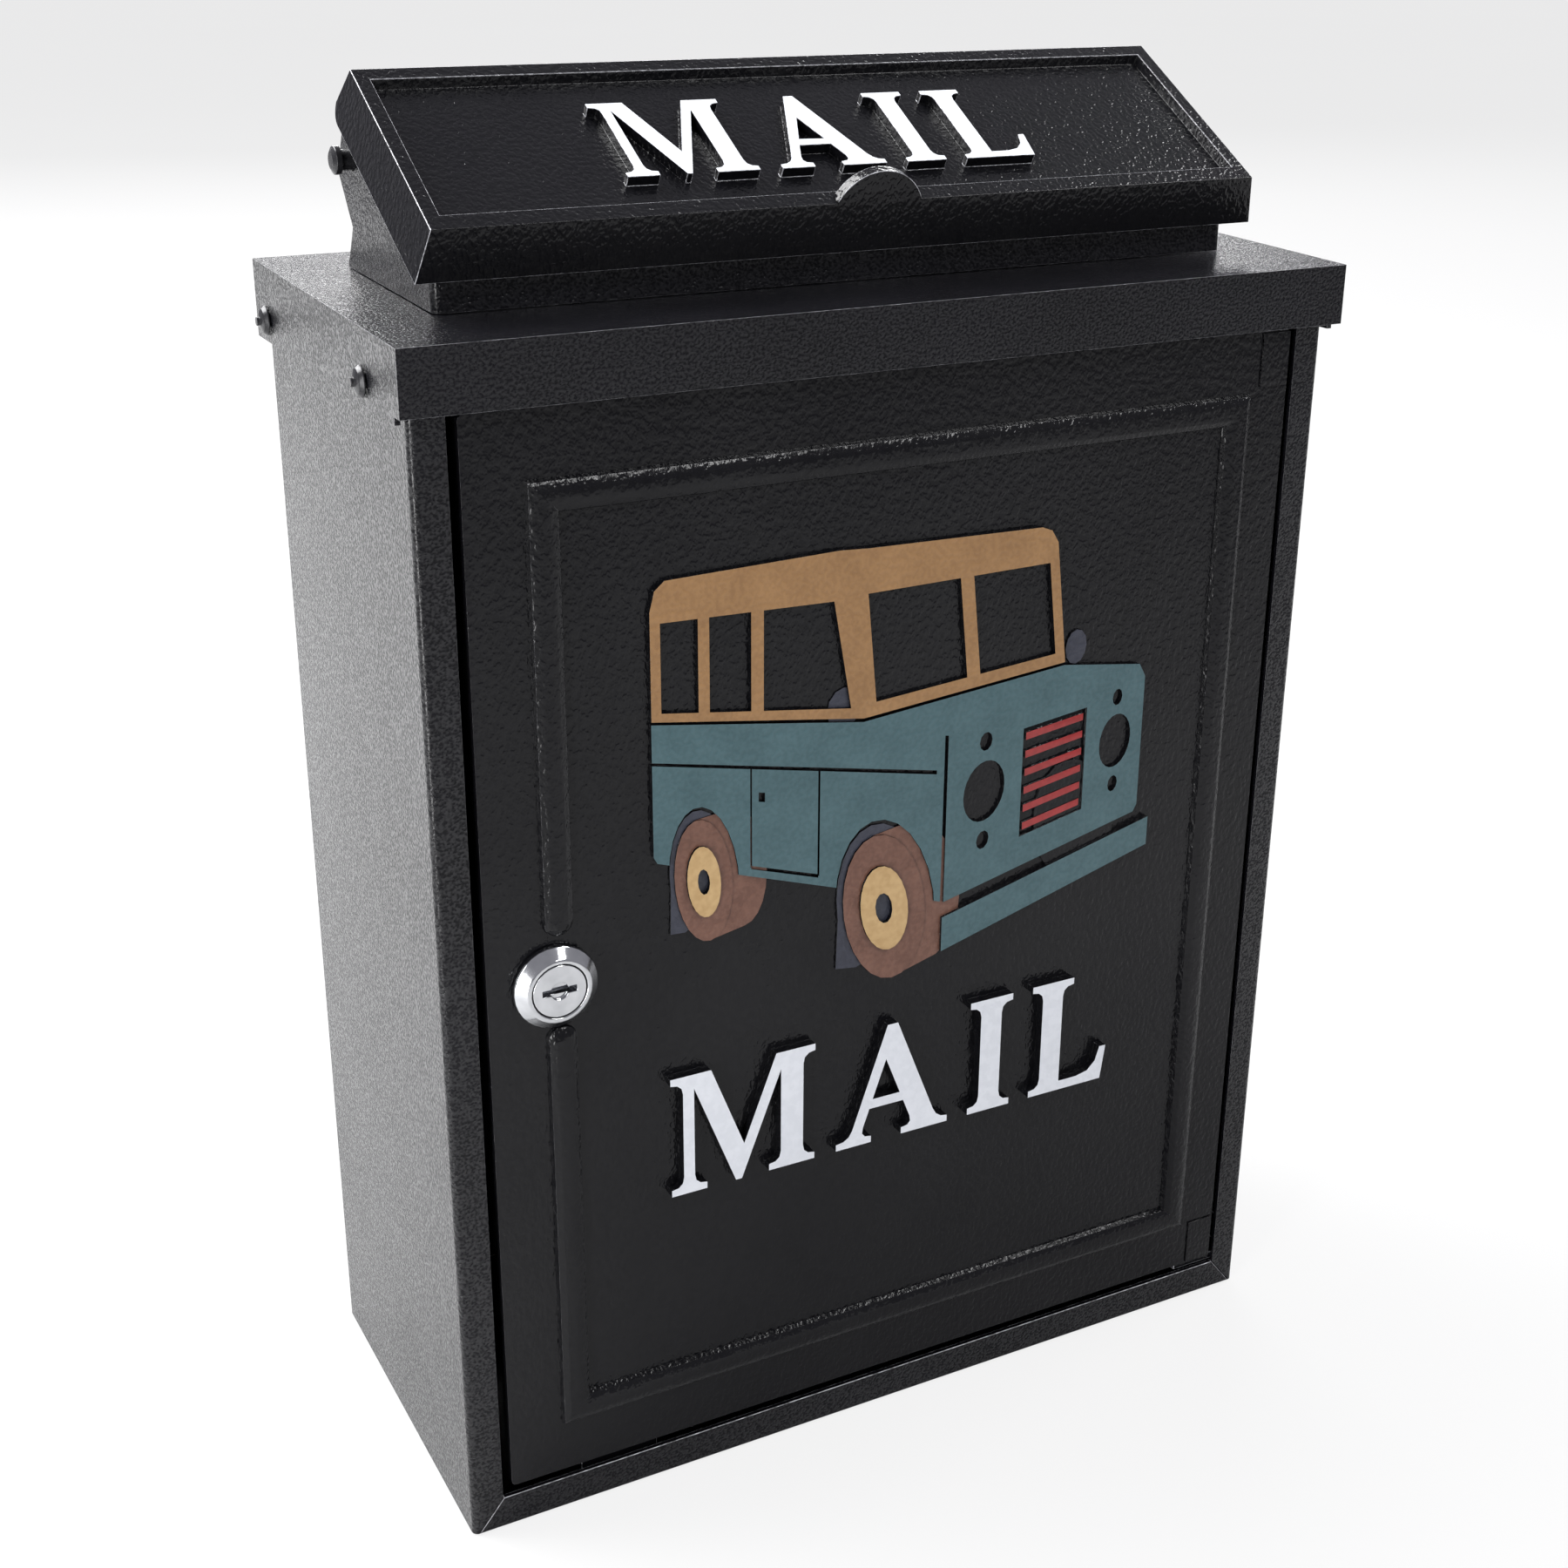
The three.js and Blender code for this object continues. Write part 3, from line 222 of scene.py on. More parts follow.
class GrainGroup:
    """The pebbled skin of a powder coat: rounded grains that run together, with a finer tooth."""

    NAME = "powder_grain"
    LUMPS = {"Detail": 1.0, "Roughness": 0.45}
    TOOTH = {"Detail": 1.0, "Roughness": 0.6}
    TOOTH_SCALE = 2.7
    VALLEY = 0.32
    TOP = 0.68

    @classmethod
    def tree(cls) -> bpy.types.NodeTree:
        """Give the group, and build it the first time."""
        return bpy.data.node_groups.get(cls.NAME) or cls.build()

    @classmethod
    def build(cls) -> bpy.types.NodeTree:
        """Build the group.

        Returns:
            A tree that turns Vector, Scale (grains in a metre) and Tooth (the fine noise's share) into
            Height and Crest, both from 0 to 1.
        """
        bench = new_group(
            cls.NAME,
            {"Vector": "NodeSocketVector", "Scale": "NodeSocketFloat", "Tooth": "NodeSocketFloat"},
            {"Height": "NodeSocketFloat", "Crest": "NodeSocketFloat"},
        )
        given = bench.add("NodeGroupInput").outputs
        result = bench.add("NodeGroupOutput").inputs

        lumps = bench.add("ShaderNodeTexNoise", cls.LUMPS)
        tooth = bench.add("ShaderNodeTexNoise", cls.TOOTH)
        for texture in (lumps, tooth):
            bench.join(given["Vector"], texture.inputs["Vector"])
        bench.join(given["Scale"], lumps.inputs["Scale"])
        bench.join(bench.maths("MULTIPLY", given["Scale"], cls.TOOTH_SCALE), tooth.inputs["Scale"])

        rounded = bench.add("ShaderNodeMapRange", {"From Min": cls.VALLEY, "From Max": cls.TOP},
                            interpolation_type="SMOOTHSTEP")
        bench.join(lumps.outputs["Fac"], rounded.inputs["Value"])

        fine = bench.maths("MULTIPLY", tooth.outputs["Fac"], given["Tooth"])
        rest = bench.maths("SUBTRACT", 1.0, given["Tooth"])
        coarse = bench.maths("MULTIPLY", rounded.outputs["Result"], rest)
        bench.join(bench.maths("ADD", coarse, fine), result["Height"])
        bench.join(rounded.outputs["Result"], result["Crest"])
        return bench.tree


class MottleGroup:
    """Slow, cloudy change over a surface, in colour and in gloss."""

    NAME = "mottle"
    CLOUD = {"Detail": 4.0, "Roughness": 0.55}
    THIN = 0.3
    THICK = 0.7
    CLOUD_SHARE = 0.6
    CREST_SHARE = 0.4

    @classmethod
    def tree(cls) -> bpy.types.NodeTree:
        """Give the group, and build it the first time."""
        return bpy.data.node_groups.get(cls.NAME) or cls.build()

    @classmethod
    def build(cls) -> bpy.types.NodeTree:
        """Build the group.

        Returns:
            A tree that mixes Deep and Light into Color, and Low and High into Value, by a cloud of
            Scale, which Crest (the grain's tops) shifts towards Light and Low.
        """
        bench = new_group(
            cls.NAME,
            {
                "Vector": "NodeSocketVector", "Scale": "NodeSocketFloat", "Crest": "NodeSocketFloat",
                "Deep": "NodeSocketColor", "Light": "NodeSocketColor",
                "Low": "NodeSocketFloat", "High": "NodeSocketFloat",
            },
            {"Color": "NodeSocketColor", "Value": "NodeSocketFloat"},
        )
        given = bench.add("NodeGroupInput").outputs
        result = bench.add("NodeGroupOutput").inputs

        cloud = bench.add("ShaderNodeTexNoise", cls.CLOUD)
        bench.join(given["Vector"], cloud.inputs["Vector"])
        bench.join(given["Scale"], cloud.inputs["Scale"])
        spread = bench.add("ShaderNodeMapRange", {"From Min": cls.THIN, "From Max": cls.THICK})
        bench.join(cloud.outputs["Fac"], spread.inputs["Value"])
        clouds = bench.maths("MULTIPLY", spread.outputs["Result"], cls.CLOUD_SHARE)
        crests = bench.maths("MULTIPLY", given["Crest"], cls.CREST_SHARE)
        share = bench.maths("ADD", clouds, crests)
        bench.join(bench.blend(share, given["Deep"], given["Light"]), result["Color"])

        gloss = bench.add("ShaderNodeMapRange")
        bench.join(share, gloss.inputs["Value"])
        bench.join(given["High"], gloss.inputs["To Min"])
        bench.join(given["Low"], gloss.inputs["To Max"])
        bench.join(gloss.outputs["Result"], result["Value"])
        return bench.tree


# ---- finishes -----------------------------------------------------------------------------------


class Slot(Enum):
    """The part's material slots."""

    SHEET = "sheet"
    CASTING = "casting"
    FIXINGS = "fixings"
    STEEL = "steel"
    CHROME = "chrome"


@dataclass(frozen=True)
class Coating:
    """A coat with its own colour, gloss and grain. Lengths are in metres.

    Attributes:
        name: the material's name.
        deep: the darkest colour of its mottle.
        light: the lightest colour of its mottle.
        roughness: on the lightest and on the darkest of the mottle.
        grain: how wide a grain is, about.
        relief: how far the grain stands up.
        tooth: the fine noise's share of the grain.
        stretch: how much closer the grain is along each axis.
        cloud: how wide a cloud of the mottle is, about.
        metallic: 1 for bare metal, 0 for paint.
        specular: how strongly the coat mirrors.
        lacquer: how strongly the grain's tops shine, beyond that.
        lacquer_roughness: how dull that shine is.
        slot: the part's material slot, for a coat that covers whole pieces. Not used by this script.
    """

    name: str
    deep: Colour
    light: Colour
    roughness: tuple[float, float] = (0.26, 0.4)
    grain: float = 0.0016
    relief: float = 0.00006
    tooth: float = 0.3
    stretch: tuple[float, float, float] = (1.0, 1.0, 1.0)
    cloud: float = 0.05
    metallic: float = 0.0
    specular: float = 0.5
    lacquer: float = 0.0
    lacquer_roughness: float = 0.2
    slot: Slot | None = None

    def material(self) -> bpy.types.Material:
        """Give the material, and build it the first time."""
        return bpy.data.materials.get(self.name) or self.build()

    def build(self) -> bpy.types.Material:
        """Build the material.

        Returns:
            A material whose grain comes from Object coordinates.
        """
        material = bpy.data.materials.new(self.name)
        material.use_nodes = True
        bench = Bench(material.node_tree)
        shader = material.node_tree.nodes["Principled BSDF"]
        shader.inputs["Metallic"].default_value = self.metallic
        shader.inputs["Specular IOR Level"].default_value = self.specular

        place = bench.add("ShaderNodeMapping", {"Scale": self.stretch})
        bench.join(bench.add("ShaderNodeTexCoord").outputs["Object"], place.inputs["Vector"])

        grain = bench.add("ShaderNodeGroup", node_tree=GrainGroup.tree())
        grain.inputs["Scale"].default_value = 1 / self.grain
        grain.inputs["Tooth"].default_value = self.tooth
        bench.join(place.outputs["Vector"], grain.inputs["Vector"])

        mottle = bench.add("ShaderNodeGroup", node_tree=MottleGroup.tree())
        mottle.inputs["Scale"].default_value = 1 / self.cloud
        bench.feed(mottle.inputs["Deep"], self.deep)
        bench.feed(mottle.inputs["Light"], self.light)
        mottle.inputs["Low"].default_value = self.roughness[0]
        mottle.inputs["High"].default_value = self.roughness[1]
        bench.join(place.outputs["Vector"], mottle.inputs["Vector"])
        bench.join(grain.outputs["Crest"], mottle.inputs["Crest"])
        bench.join(mottle.outputs["Color"], shader.inputs["Base Color"])
        bench.join(mottle.outputs["Value"], shader.inputs["Roughness"])

        bump = bench.add("ShaderNodeBump", {"Strength": 1.0, "Distance": self.relief})
        bench.join(grain.outputs["Height"], bump.inputs["Height"])
        bench.join(bump.outputs["Normal"], shader.inputs["Normal"])

        if self.lacquer:
            shader.inputs["Coat Roughness"].default_value = self.lacquer_roughness
            tops = bench.maths("MULTIPLY", grain.outputs["Crest"], self.lacquer)
            bench.join(tops, shader.inputs["Coat Weight"])
        return material


SHEET_COAT = Coating("black_powder_sheet", (0.003, 0.003, 0.004), (0.008, 0.008, 0.01),
                     roughness=(0.12, 0.24), grain=0.0008, relief=0.00018, tooth=0.25, specular=0.18,
                     lacquer=0.6, slot=Slot.SHEET)
CAST_COAT = Coating("black_powder_cast", (0.002, 0.002, 0.003), (0.006, 0.006, 0.007),
                    roughness=(0.12, 0.24), grain=0.0013, relief=0.00011, tooth=0.15,
                    stretch=(1.15, 1.0, 0.8), specular=0.25, slot=Slot.CASTING)
# Painted highlight: a pale, broken coat on the outward roundings of edges that stands in for the glints
# of light along them; the real coat there is black like the rest.
EDGE_GLINT_COAT = Coating("painted_edge_glint", (0.002, 0.002, 0.002), (0.62, 0.62, 0.66),
                    roughness=(0.1, 0.2), grain=0.0012, relief=0.00018, tooth=0.2, cloud=0.003)
WHITE_ENAMEL = Coating("white_enamel", (0.56, 0.58, 0.62), (0.66, 0.68, 0.72),
                       roughness=(0.3, 0.42), grain=0.0022, relief=0.00005, tooth=0.15)
TAN_ENAMEL = Coating("tan_enamel", (0.21, 0.11, 0.042), (0.3, 0.165, 0.066),
                     roughness=(0.32, 0.46), grain=0.0014, relief=0.00009, tooth=0.2, cloud=0.012)
TEAL_ENAMEL = Coating("teal_enamel", (0.034, 0.076, 0.087), (0.056, 0.113, 0.128),
                      roughness=(0.32, 0.46), grain=0.0014, relief=0.00009, tooth=0.2, cloud=0.012)
BROWN_ENAMEL = Coating("brown_enamel", (0.1, 0.043, 0.028), (0.16, 0.075, 0.05),
                       roughness=(0.34, 0.48), grain=0.0014, relief=0.00009, tooth=0.2, cloud=0.008)
CREAM_ENAMEL = Coating("cream_enamel", (0.38, 0.24, 0.1), (0.5, 0.34, 0.16),
                       roughness=(0.32, 0.46), grain=0.0018, relief=0.00004, tooth=0.2, cloud=0.008)
SLATE_ENAMEL = Coating("slate_enamel", (0.02, 0.022, 0.034), (0.034, 0.037, 0.055),
                       roughness=(0.34, 0.46), grain=0.0014, relief=0.00009, tooth=0.2)
RED_ENAMEL = Coating("red_enamel", (0.18, 0.012, 0.012), (0.3, 0.025, 0.025),
                     roughness=(0.32, 0.44), grain=0.0018, relief=0.00004, tooth=0.2)
CHROME = Coating("lock_chrome", (0.5, 0.51, 0.53), (0.66, 0.67, 0.69),
                 roughness=(0.06, 0.14), grain=0.004, relief=0.00001, tooth=0.1, cloud=0.006,
                 metallic=1.0, slot=Slot.CHROME)
ZINC = Coating("zinc_plate", (0.42, 0.44, 0.46), (0.62, 0.63, 0.64),
               roughness=(0.26, 0.44), grain=0.0012, relief=0.00001, tooth=0.5, cloud=0.004,
               metallic=1.0, slot=Slot.STEEL)
DARK_STEEL = Coating("blackened_steel", (0.012, 0.012, 0.014), (0.03, 0.03, 0.033),
                     roughness=(0.2, 0.36), grain=0.0014, relief=0.00002, tooth=0.5, cloud=0.004,
                     metallic=0.3, slot=Slot.FIXINGS)


@dataclass(frozen=True)
class FloorPaint:
    """The studio's matt floor, which glows white to the camera but lights the box only dimly.

    Attributes:
        name: the material's name.
        deep: the darkest colour of its clouds.
        light: the lightest colour of its clouds.
        roughness: how matt it is.
        clouds: how many clouds there are in a metre.
        glow: how bright the glow is.
        glow_share: the glow's share of what the camera sees.
    """

    name: str = "pale_floor"
    deep: Colour = (0.4, 0.4, 0.4)
    light: Colour = (0.46, 0.46, 0.46)
    roughness: float = 0.9
    clouds: float = 1.5
    glow: float = 1.1
    glow_share: float = 0.7

    def material(self) -> bpy.types.Material:
        """Build the material.

        Returns:
            A material whose glow only the camera sees.
        """
        material = bpy.data.materials.new(self.name)
        material.use_nodes = True
        bench = Bench(material.node_tree)
        shader = material.node_tree.nodes["Principled BSDF"]
        shader.inputs["Roughness"].default_value = self.roughness

        cloud = bench.add("ShaderNodeTexNoise", {"Scale": self.clouds, "Detail": 1.0})
        bench.join(bench.add("ShaderNodeTexCoord").outputs["Object"], cloud.inputs["Vector"])
        bench.join(bench.blend(cloud.outputs["Fac"], self.deep, self.light), shader.inputs["Base Color"])

        glow = bench.add("ShaderNodeEmission", {"Strength": self.glow})
        seen = bench.add("ShaderNodeLightPath").outputs["Is Camera Ray"]
        share = bench.maths("MULTIPLY", seen, self.glow_share)
        surface = material.node_tree.nodes["Material Output"].inputs["Surface"]
        bench.join(bench.choose(share, shader.outputs["BSDF"], glow.outputs["Emission"]), surface)
        return material


# ---- pieces with softened edges -----------------------------------------------------------------


@dataclass(frozen=True)
class Softening:
    """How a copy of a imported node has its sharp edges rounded. Lengths are in metres.

    Attributes:
        width: how far a rounding reaches from its edge.
        segments: how many facets it has.
        sharp: the least angle between two faces that is rounded.
        weld: how close two points lie to become one.
        flat: the most that two faces differ by and still become one.
        room: how many widths a face must measure across for its edges to be rounded.
    """

    width: float
    segments: int = 3
    sharp: float = math.radians(25)
    weld: float = 2e-6
    flat: float = math.radians(1)
    room: float = 2.1

    def copy(self, node: str, finish: Coating, edges: Coating | None = None) -> Piece:
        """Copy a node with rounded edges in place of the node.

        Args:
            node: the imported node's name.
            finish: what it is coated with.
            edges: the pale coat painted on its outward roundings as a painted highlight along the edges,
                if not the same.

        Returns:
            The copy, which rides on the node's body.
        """
        source = frame["nodes"][node]
        mesh = bmesh.new()
        mesh.from_mesh(source.data)
        bmesh.ops.remove_doubles(mesh, verts=mesh.verts, dist=self.weld)
        bmesh.ops.dissolve_limit(mesh, angle_limit=self.flat, verts=mesh.verts, edges=mesh.edges,
                                 use_dissolve_boundaries=False)
        rounded = bmesh.ops.bevel(mesh, geom=self.sharp_edges(mesh), offset=self.width,
                                  offset_type="OFFSET", segments=self.segments, profile=0.5,
                                  affect="EDGES", clamp_overlap=True, material=-1)
        # Faces of outward roundings get the pale edge coat, a painted highlight along the edges.
        if edges:
            for face in rounded["faces"]:
                face.material_index = int(self.turns_outward(face))
        piece = finished(f"{node}_coated", mesh, finish)
        if edges:
            piece.data.materials.append(edges.material())
        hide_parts(node)
        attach(piece, source["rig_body"])
        return piece

    def sharp_edges(self, mesh: bmesh.types.BMesh) -> list[bmesh.types.BMEdge]:
        """Give the edges between two faces that are sharp and leave room to round."""
        return [edge for edge in mesh.edges
                if len(edge.link_faces) == 2
                and edge.calc_face_angle() > self.sharp
                and self.has_room(edge)]

    def has_room(self, edge: bmesh.types.BMEdge) -> bool:
        """Tell whether the faces on both sides of an edge are wide enough for its rounding."""
        least_area = self.room * self.width * edge.calc_length()
        return all(face.calc_area() > least_area for face in edge.link_faces)

    @staticmethod
    def turns_outward(face: bmesh.types.BMFace) -> bool:
        """Tell whether a face of a rounded edge bends away from its neighbours."""
        return sum(edge.calc_face_angle_signed(0.0) for edge in face.edges) > 0.0


def finished(
    name: str, mesh: bmesh.types.BMesh, finish: Coating | FloorPaint, flat_weight: int = 80
) -> Piece:
    """Make an object of a mesh, smooth shaded with its flats kept flat.

    Args:
        name: the object's name.
        mesh: what it is made of, which is freed.
        finish: what it is coated with.
        flat_weight: how far large faces outweigh small ones in the shading.

    Returns:
        The object, in the scene.
    """
    data = bpy.data.meshes.new(name)
    mesh.to_mesh(data)
    mesh.free()
    data.shade_smooth()
    data.materials.append(finish.material())
    piece = bpy.data.objects.new(name, data)
    bpy.context.scene.collection.objects.link(piece)
    flats = piece.modifiers.new("flats", "WEIGHTED_NORMAL")
    flats.mode = "FACE_AREA"
    flats.weight = flat_weight
    return piece


def report(piece: Piece) -> None:
    """Log a piece and how many faces it has."""
    LOG.info("%s: %d faces", piece.name, len(piece.data.polygons))


# ---- sub-assemblies -----------------------------------------------------------------------------


@dataclass
class Casing:
    """The folded box, its floor tray and the lugs that carry the door's pins.

    Attributes:
        fold: how far the box's folds and cut edges are rounded.
        tray_edge: how far the tray's and the lugs' edges are.
    """

    fold: float = 0.0006
    tray_edge: float = 0.0003

    def build(self) -> list[Piece]:
        """Make the casing's pieces."""
        pieces = [Softening(self.fold).copy("body_wrap", SHEET_COAT, EDGE_GLINT_COAT)]
        for node in ("floor_tray", "hinge_lug_lower", "hinge_lug_upper"):
            pieces.append(Softening(self.tray_edge).copy(node, SHEET_COAT, EDGE_GLINT_COAT))
        return pieces


@dataclass
class Roof:
    """The cap over the box, with its rivets.

    Attributes:
        fold: how far the cap's folds and cut edges are rounded.
        rivet_edge: how far the rivets' rims are.
    """

    fold: float = 0.0007
    rivet_edge: float = 0.00015

    def build(self) -> list[Piece]:
        """Make the roof's pieces."""
        pieces = [Softening(self.fold).copy("roof_cap", SHEET_COAT, EDGE_GLINT_COAT)]
        rim = Softening(self.rivet_edge, segments=2)
        for hand in ("left", "right"):
            for row in ("back", "front"):
                pieces.append(rim.copy(f"cap_rivet_{hand}_{row}", DARK_STEEL))
        return pieces


@dataclass
class Chute:
    """The chute on the roof, with the rod that the lid turns on.

    Attributes:
        fold: how far the chute's folds and cut edges are rounded.
        rod_edge: how far the edges of the rod and its caps are.
    """

    fold: float = 0.0006
    rod_edge: float = 0.0002

    def build(self) -> list[Piece]:
        """Make the chute's pieces."""
        pieces = [Softening(self.fold).copy("chute_neck", SHEET_COAT, EDGE_GLINT_COAT)]
        for node in ("lid_rod", "rod_cap_left", "rod_cap_right"):
            pieces.append(Softening(self.rod_edge).copy(node, DARK_STEEL))
        return pieces


@dataclass
class Lid:
    """The cast lid, whose raised letters are painted.

    Attributes:
        edge: how far its edges are rounded.
        slope: how steeply its top rises from the front to the back.
        front_edge: where the front edge of its top lies, in y and z.
        letter_rise: how far above the border a face lies to be a letter's.
        letter_foot: how far up the slope the letters begin.
    """

    edge: float = 0.0007
    slope: float = math.radians(29.5)
    front_edge: tuple[float, float] = (-0.1004, 0.1897)
    letter_rise: float = 0.0001
    letter_foot: float = 0.0125

    def build(self) -> list[Piece]:
        """Make the lid."""
        piece = Softening(self.edge).copy("lid_casting", CAST_COAT, EDGE_GLINT_COAT)
        letter_slot = len(piece.data.materials)
        piece.data.materials.append(WHITE_ENAMEL.material())
        up = Vector((0.0, math.cos(self.slope), math.sin(self.slope)))
        out = Vector((0.0, -math.sin(self.slope), math.cos(self.slope)))
        for face in piece.data.polygons:
            place = face.center - Vector((0.0, *self.front_edge))
            raised = place.dot(out) > self.letter_rise and place.dot(up) > self.letter_foot
            if raised and face.normal.dot(out) > FACING:
                face.material_index = letter_slot
        return [piece]


class Relief(Enum):
    """The heights of the door's painted relief above its face, in metres. Each has one colour."""

    GUARD = 0.0006
    TREAD = 0.0008
    BAR = 0.001
    TYRE = 0.00115
    BODY = 0.0013
    CABIN = 0.0015
    BUMPER = 0.0017
    HUB = 0.0019
    LETTER = 0.003


RELIEF_PAINTS: dict[Relief, Coating] = {
    Relief.GUARD: SLATE_ENAMEL,
    Relief.TREAD: BROWN_ENAMEL,
    Relief.BAR: RED_ENAMEL,
    Relief.TYRE: BROWN_ENAMEL,
    Relief.BODY: TEAL_ENAMEL,
    Relief.CABIN: TAN_ENAMEL,
    Relief.BUMPER: TEAL_ENAMEL,
    Relief.HUB: CREAM_ENAMEL,
    Relief.LETTER: WHITE_ENAMEL,
}


@dataclass
class Door:
    """The cast door with its bead, painted van and letters, and the pins that it turns on.

    Attributes:
        edge: how far the casting's edges are rounded.
        pin_edge: how far the pins' edges are.
        field_x: from where to where the painted field inside the bead runs, left to right.
        field_z: from where to where it runs, up.
        tolerance: how near to a level a face lies to be its top.
        grille_from: how far right the van's grille begins. The wheel behind it stays black.
        grille_foot: how far up the grille begins.
    """

    edge: float = 0.0004
    pin_edge: float = 0.0002
    field_x: tuple[float, float] = (-0.098, 0.101)
    field_z: tuple[float, float] = (-0.134, 0.123)
    tolerance: float = 0.00006
    grille_from: float = 0.035
    grille_foot: float = 0.0

    def build(self) -> list[Piece]:
        """Make the door and its pins."""
        door = Softening(self.edge).copy("door_casting", CAST_COAT, EDGE_GLINT_COAT)
        self.paint(door)
        pins = [Softening(self.pin_edge).copy(f"door_pin_{end}", ZINC) for end in ("lower", "upper")]
        return [door, *pins]

    def paint(self, door: Piece) -> None:
        """Give each height of the relief inside the bead its own enamel.

        Args:
            door: the coated casting.
        """
        face_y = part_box("door_casting")[0].y + Relief.LETTER.value
        slots = {}
        for level, enamel in RELIEF_PAINTS.items():
            slots[level] = len(door.data.materials)
            door.data.materials.append(enamel.material())
        for face in door.data.polygons:
            level = self.level(face, face_y)
            if level:
                face.material_index = slots[level]

    def level(self, face: bpy.types.MeshPolygon, face_y: float) -> Relief | None:
        """Find the relief level that a face is the top of.

        Args:
            face: a face of the door.
            face_y: where the door's flat face lies.

        Returns:
            The level, or None for a face that stays black.
        """
        x, y, z = face.center
        inside = self.field_x[0] < x < self.field_x[1] and self.field_z[0] < z < self.field_z[1]
        if face.normal.y > -FACING or not inside:
            return None
        nearest = min(Relief, key=lambda level: abs(face_y - y - level.value))
        behind_grille = nearest is Relief.TREAD and x > self.grille_from and z > self.grille_foot
        is_top = abs(face_y - y - nearest.value) < self.tolerance
        return nearest if is_top and not behind_grille else None


@dataclass
class CamLock:
    """The cylinder lock in the door, with its nut, cam, washer and screw.

    Attributes:
        ring_edge: how far the edges of the lock's bezel are rounded.
        plug_edge: how far the plug's edges are.
        plate_edge: how far those of the plated parts inside the door are.
    """

    ring_edge: float = 0.0004
    plug_edge: float = 0.0002
    plate_edge: float = 0.0003

    def build(self) -> list[Piece]:
        """Make the lock's pieces."""
        pieces = [
            Softening(self.ring_edge, segments=4).copy("lock_housing", CHROME),
            Softening(self.plug_edge).copy("lock_plug", CHROME),
        ]
        for node in ("lock_nut", "lock_cam", "cam_washer", "cam_screw"):
            pieces.append(Softening(self.plate_edge).copy(node, ZINC))
        return pieces


# ---- studio -------------------------------------------------------------------------------------


@dataclass
class Softbox:
    """A large soft light that is aimed at a point.

    Attributes:
        name: the light's name.
        place: where it hangs.
        target: the point that it is aimed at.
        size: how wide and how high it is.
        power: in watts.
    """

    name: str
    place: tuple[float, float, float]
    target: tuple[float, float, float]
    size: tuple[float, float]
    power: float

    def build(self) -> None:
        """Hang the light. It isn't seen by the camera itself."""
        data = bpy.data.lights.new(self.name, "AREA")
        data.shape = "RECTANGLE"
        data.size, data.size_y = self.size
        data.energy = self.power
        light = bpy.data.objects.new(self.name, data)
        light.location = self.place
        aim = Vector(self.target) - Vector(self.place)
        light.rotation_euler = aim.to_track_quat("-Z", "Y").to_euler()
        light.visible_camera = False
        bpy.context.scene.collection.objects.link(light)


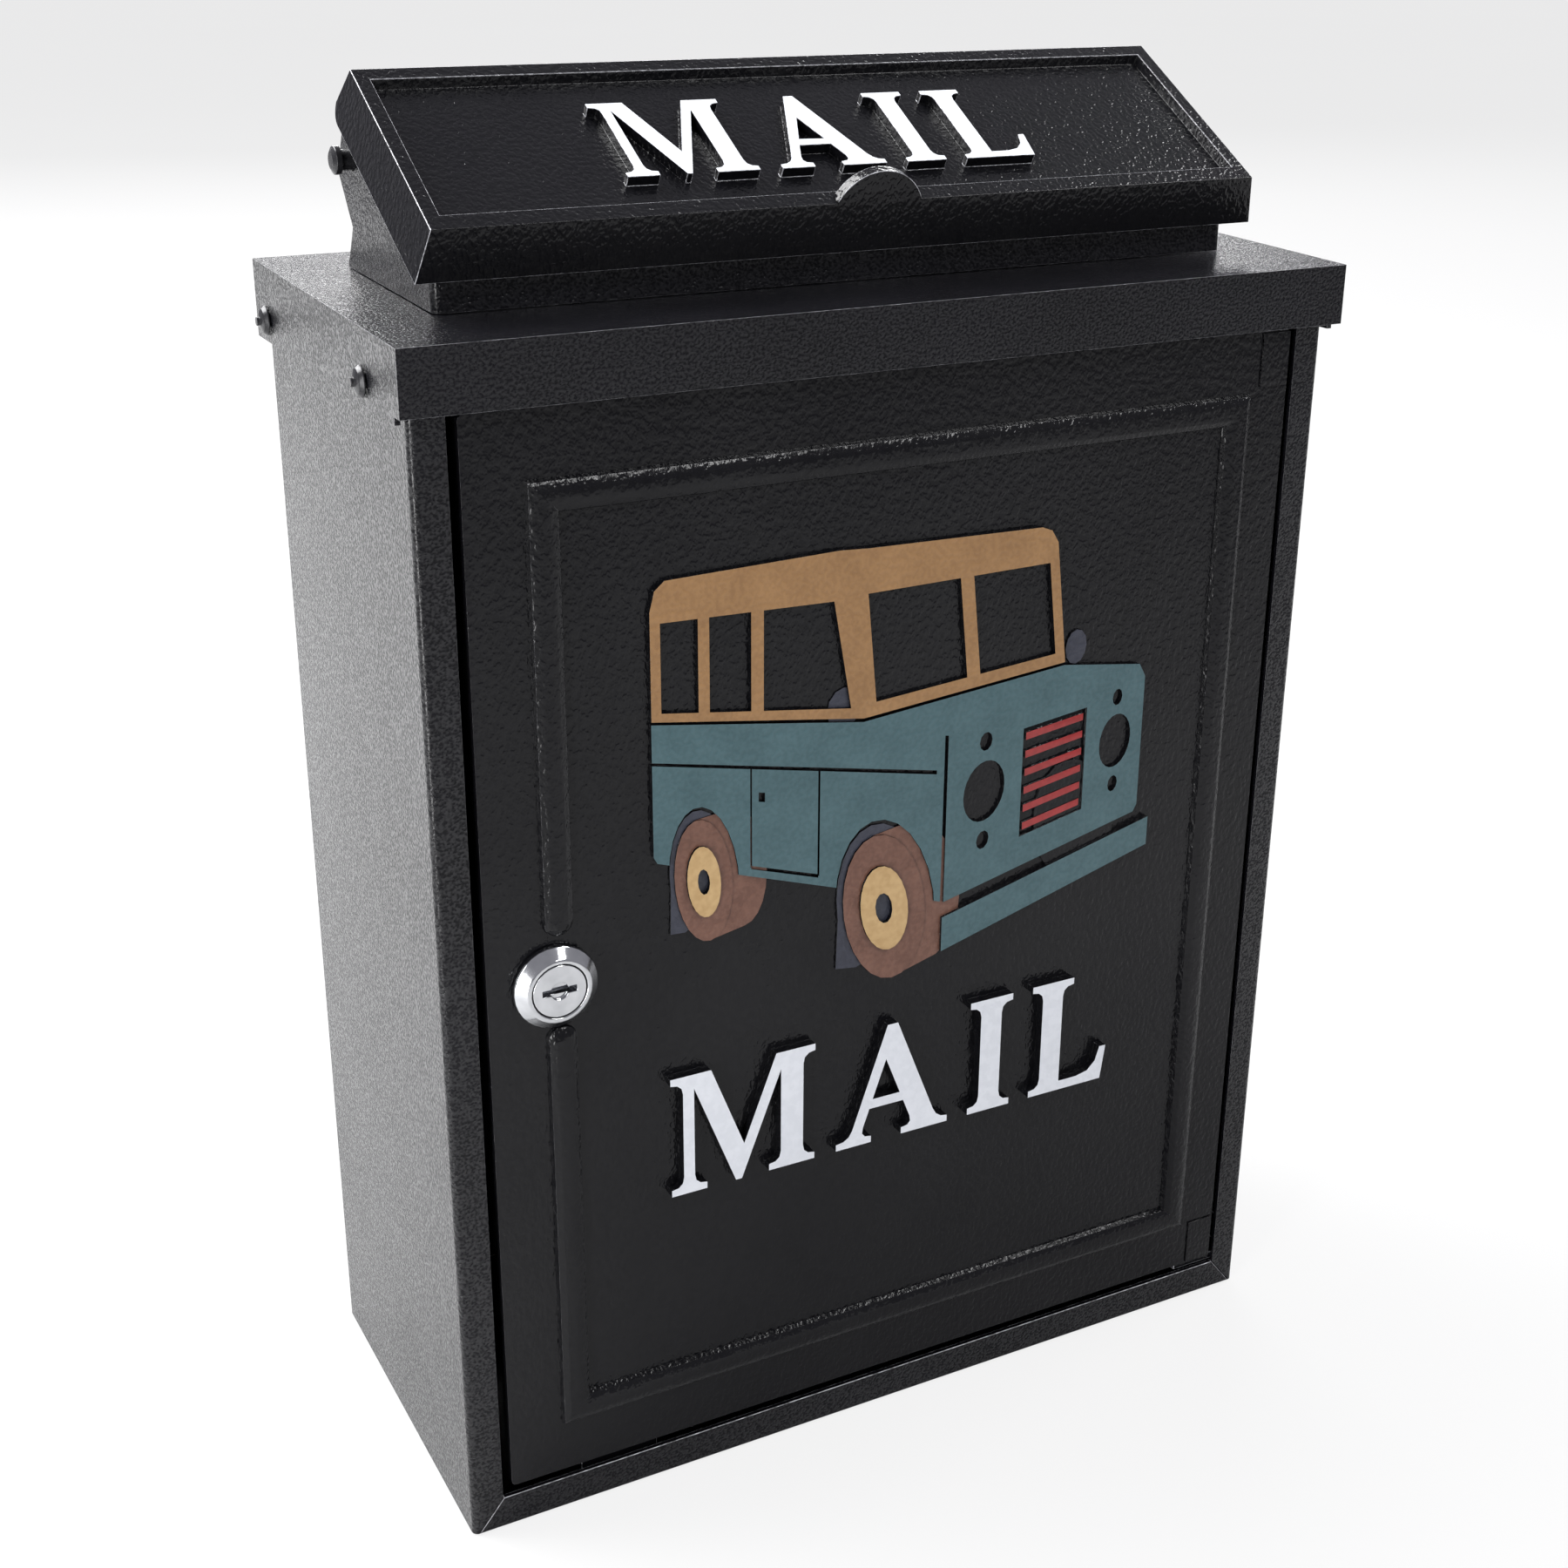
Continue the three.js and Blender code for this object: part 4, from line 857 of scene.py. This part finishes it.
@dataclass
class Studio:
    """A plain pale floor, soft light and the camera.

    Attributes:
        floor_size: the floor's side.
        floor_squares: how many squares the floor has along a side.
        floor_gap: how far it lies below the box.
        sky: the colour of the light from all around.
        sky_strength: how strong that light is.
        camera_place: where the camera is.
        camera_turn: its turns about X, Y and Z, in degrees.
        lens: its focal length, in millimetres.
        shift: how far the lens is shifted right and up, in widths of the frame.
        lights: the soft lights.
    """

    floor_size: float = 30.0
    floor_squares: int = 8
    floor_gap: float = 0.0005
    sky: Colour = (0.93, 0.92, 1.0)
    sky_strength: float = 0.35
    camera_place: tuple[float, float, float] = (-0.2854, -0.5991, 0.2659)
    camera_turn: tuple[float, float, float] = (68.327, -0.499, -27.941)
    lens: float = 50.1
    shift: tuple[float, float] = (-0.0172, -0.0222)
    lights: list[Softbox] = field(default_factory=lambda: [
        Softbox("back_strip", (0.5, 2.6, 1.4), (0.0, 0.0, 0.2), (3.4, 0.7), 70.0),
        Softbox("left_back_floor", (-1.0, 0.9, 1.5), (-0.7, 0.6, -0.2), (1.4, 1.4), 100.0),
        Softbox("right_high", (0.85, -0.6, 1.3), (0.0, -0.1, 0.1), (2.0, 0.25), 28.0),
        Softbox("left_front", (-1.7, -1.0, 0.55), (0.0, -0.1, 0.0), (0.3, 1.3), 14.0),
        Softbox("left_low", (-0.55, -0.36, -0.165), (-0.1, -0.12, 0.0), (0.14, 0.6), 2.5),
    ])

    def build(self) -> None:
        """Lay the floor, hang the lights and set the camera."""
        self.lay_floor()
        self.fill_world()
        for light in self.lights:
            light.build()
        self.set_camera()
        bpy.context.scene.view_settings.view_transform = "Standard"

    def lay_floor(self) -> None:
        """Lay the floor under the box."""
        mesh = bmesh.new()
        below = Matrix.Translation((0.0, 0.0, CAD_BOX[0][2] - self.floor_gap))
        bmesh.ops.create_grid(mesh, x_segments=self.floor_squares, y_segments=self.floor_squares,
                              size=self.floor_size / 2, matrix=below)
        finished("floor", mesh, FloorPaint())

    def fill_world(self) -> None:
        """Give the world an even dim light, with a white view behind the floor."""
        world = bpy.data.worlds.new("studio_air")
        world.use_nodes = True
        bench = Bench(world.node_tree)
        air = world.node_tree.nodes["Background"]
        bench.feed(air.inputs["Color"], self.sky)
        air.inputs["Strength"].default_value = self.sky_strength
        view = bench.add("ShaderNodeBackground", {"Color": (1.0, 1.0, 1.0, 1.0), "Strength": 1.0})
        seen = bench.add("ShaderNodeLightPath").outputs["Is Camera Ray"]
        shown = bench.choose(seen, air.outputs["Background"], view.outputs["Background"])
        bench.join(shown, world.node_tree.nodes["World Output"].inputs["Surface"])
        bpy.context.scene.world = world

    def set_camera(self) -> None:
        """Set the camera at the box's front left, above it."""
        data = bpy.data.cameras.new("camera")
        data.lens = self.lens
        data.shift_x, data.shift_y = self.shift
        camera = bpy.data.objects.new("camera", data)
        camera.location = self.camera_place
        camera.rotation_euler = Euler([math.radians(angle) for angle in self.camera_turn])
        bpy.context.scene.collection.objects.link(camera)
        bpy.context.scene.camera = camera


def main() -> None:
    """Build the mailbox in its studio."""
    logging.basicConfig(level=logging.INFO, format="%(name)s %(message)s")
    Studio().build()
    for assembly in (Casing(), Roof(), Chute(), Lid(), Door(), CamLock()):
        for piece in assembly.build():
            report(piece)


if __name__ == "__main__":
    main()
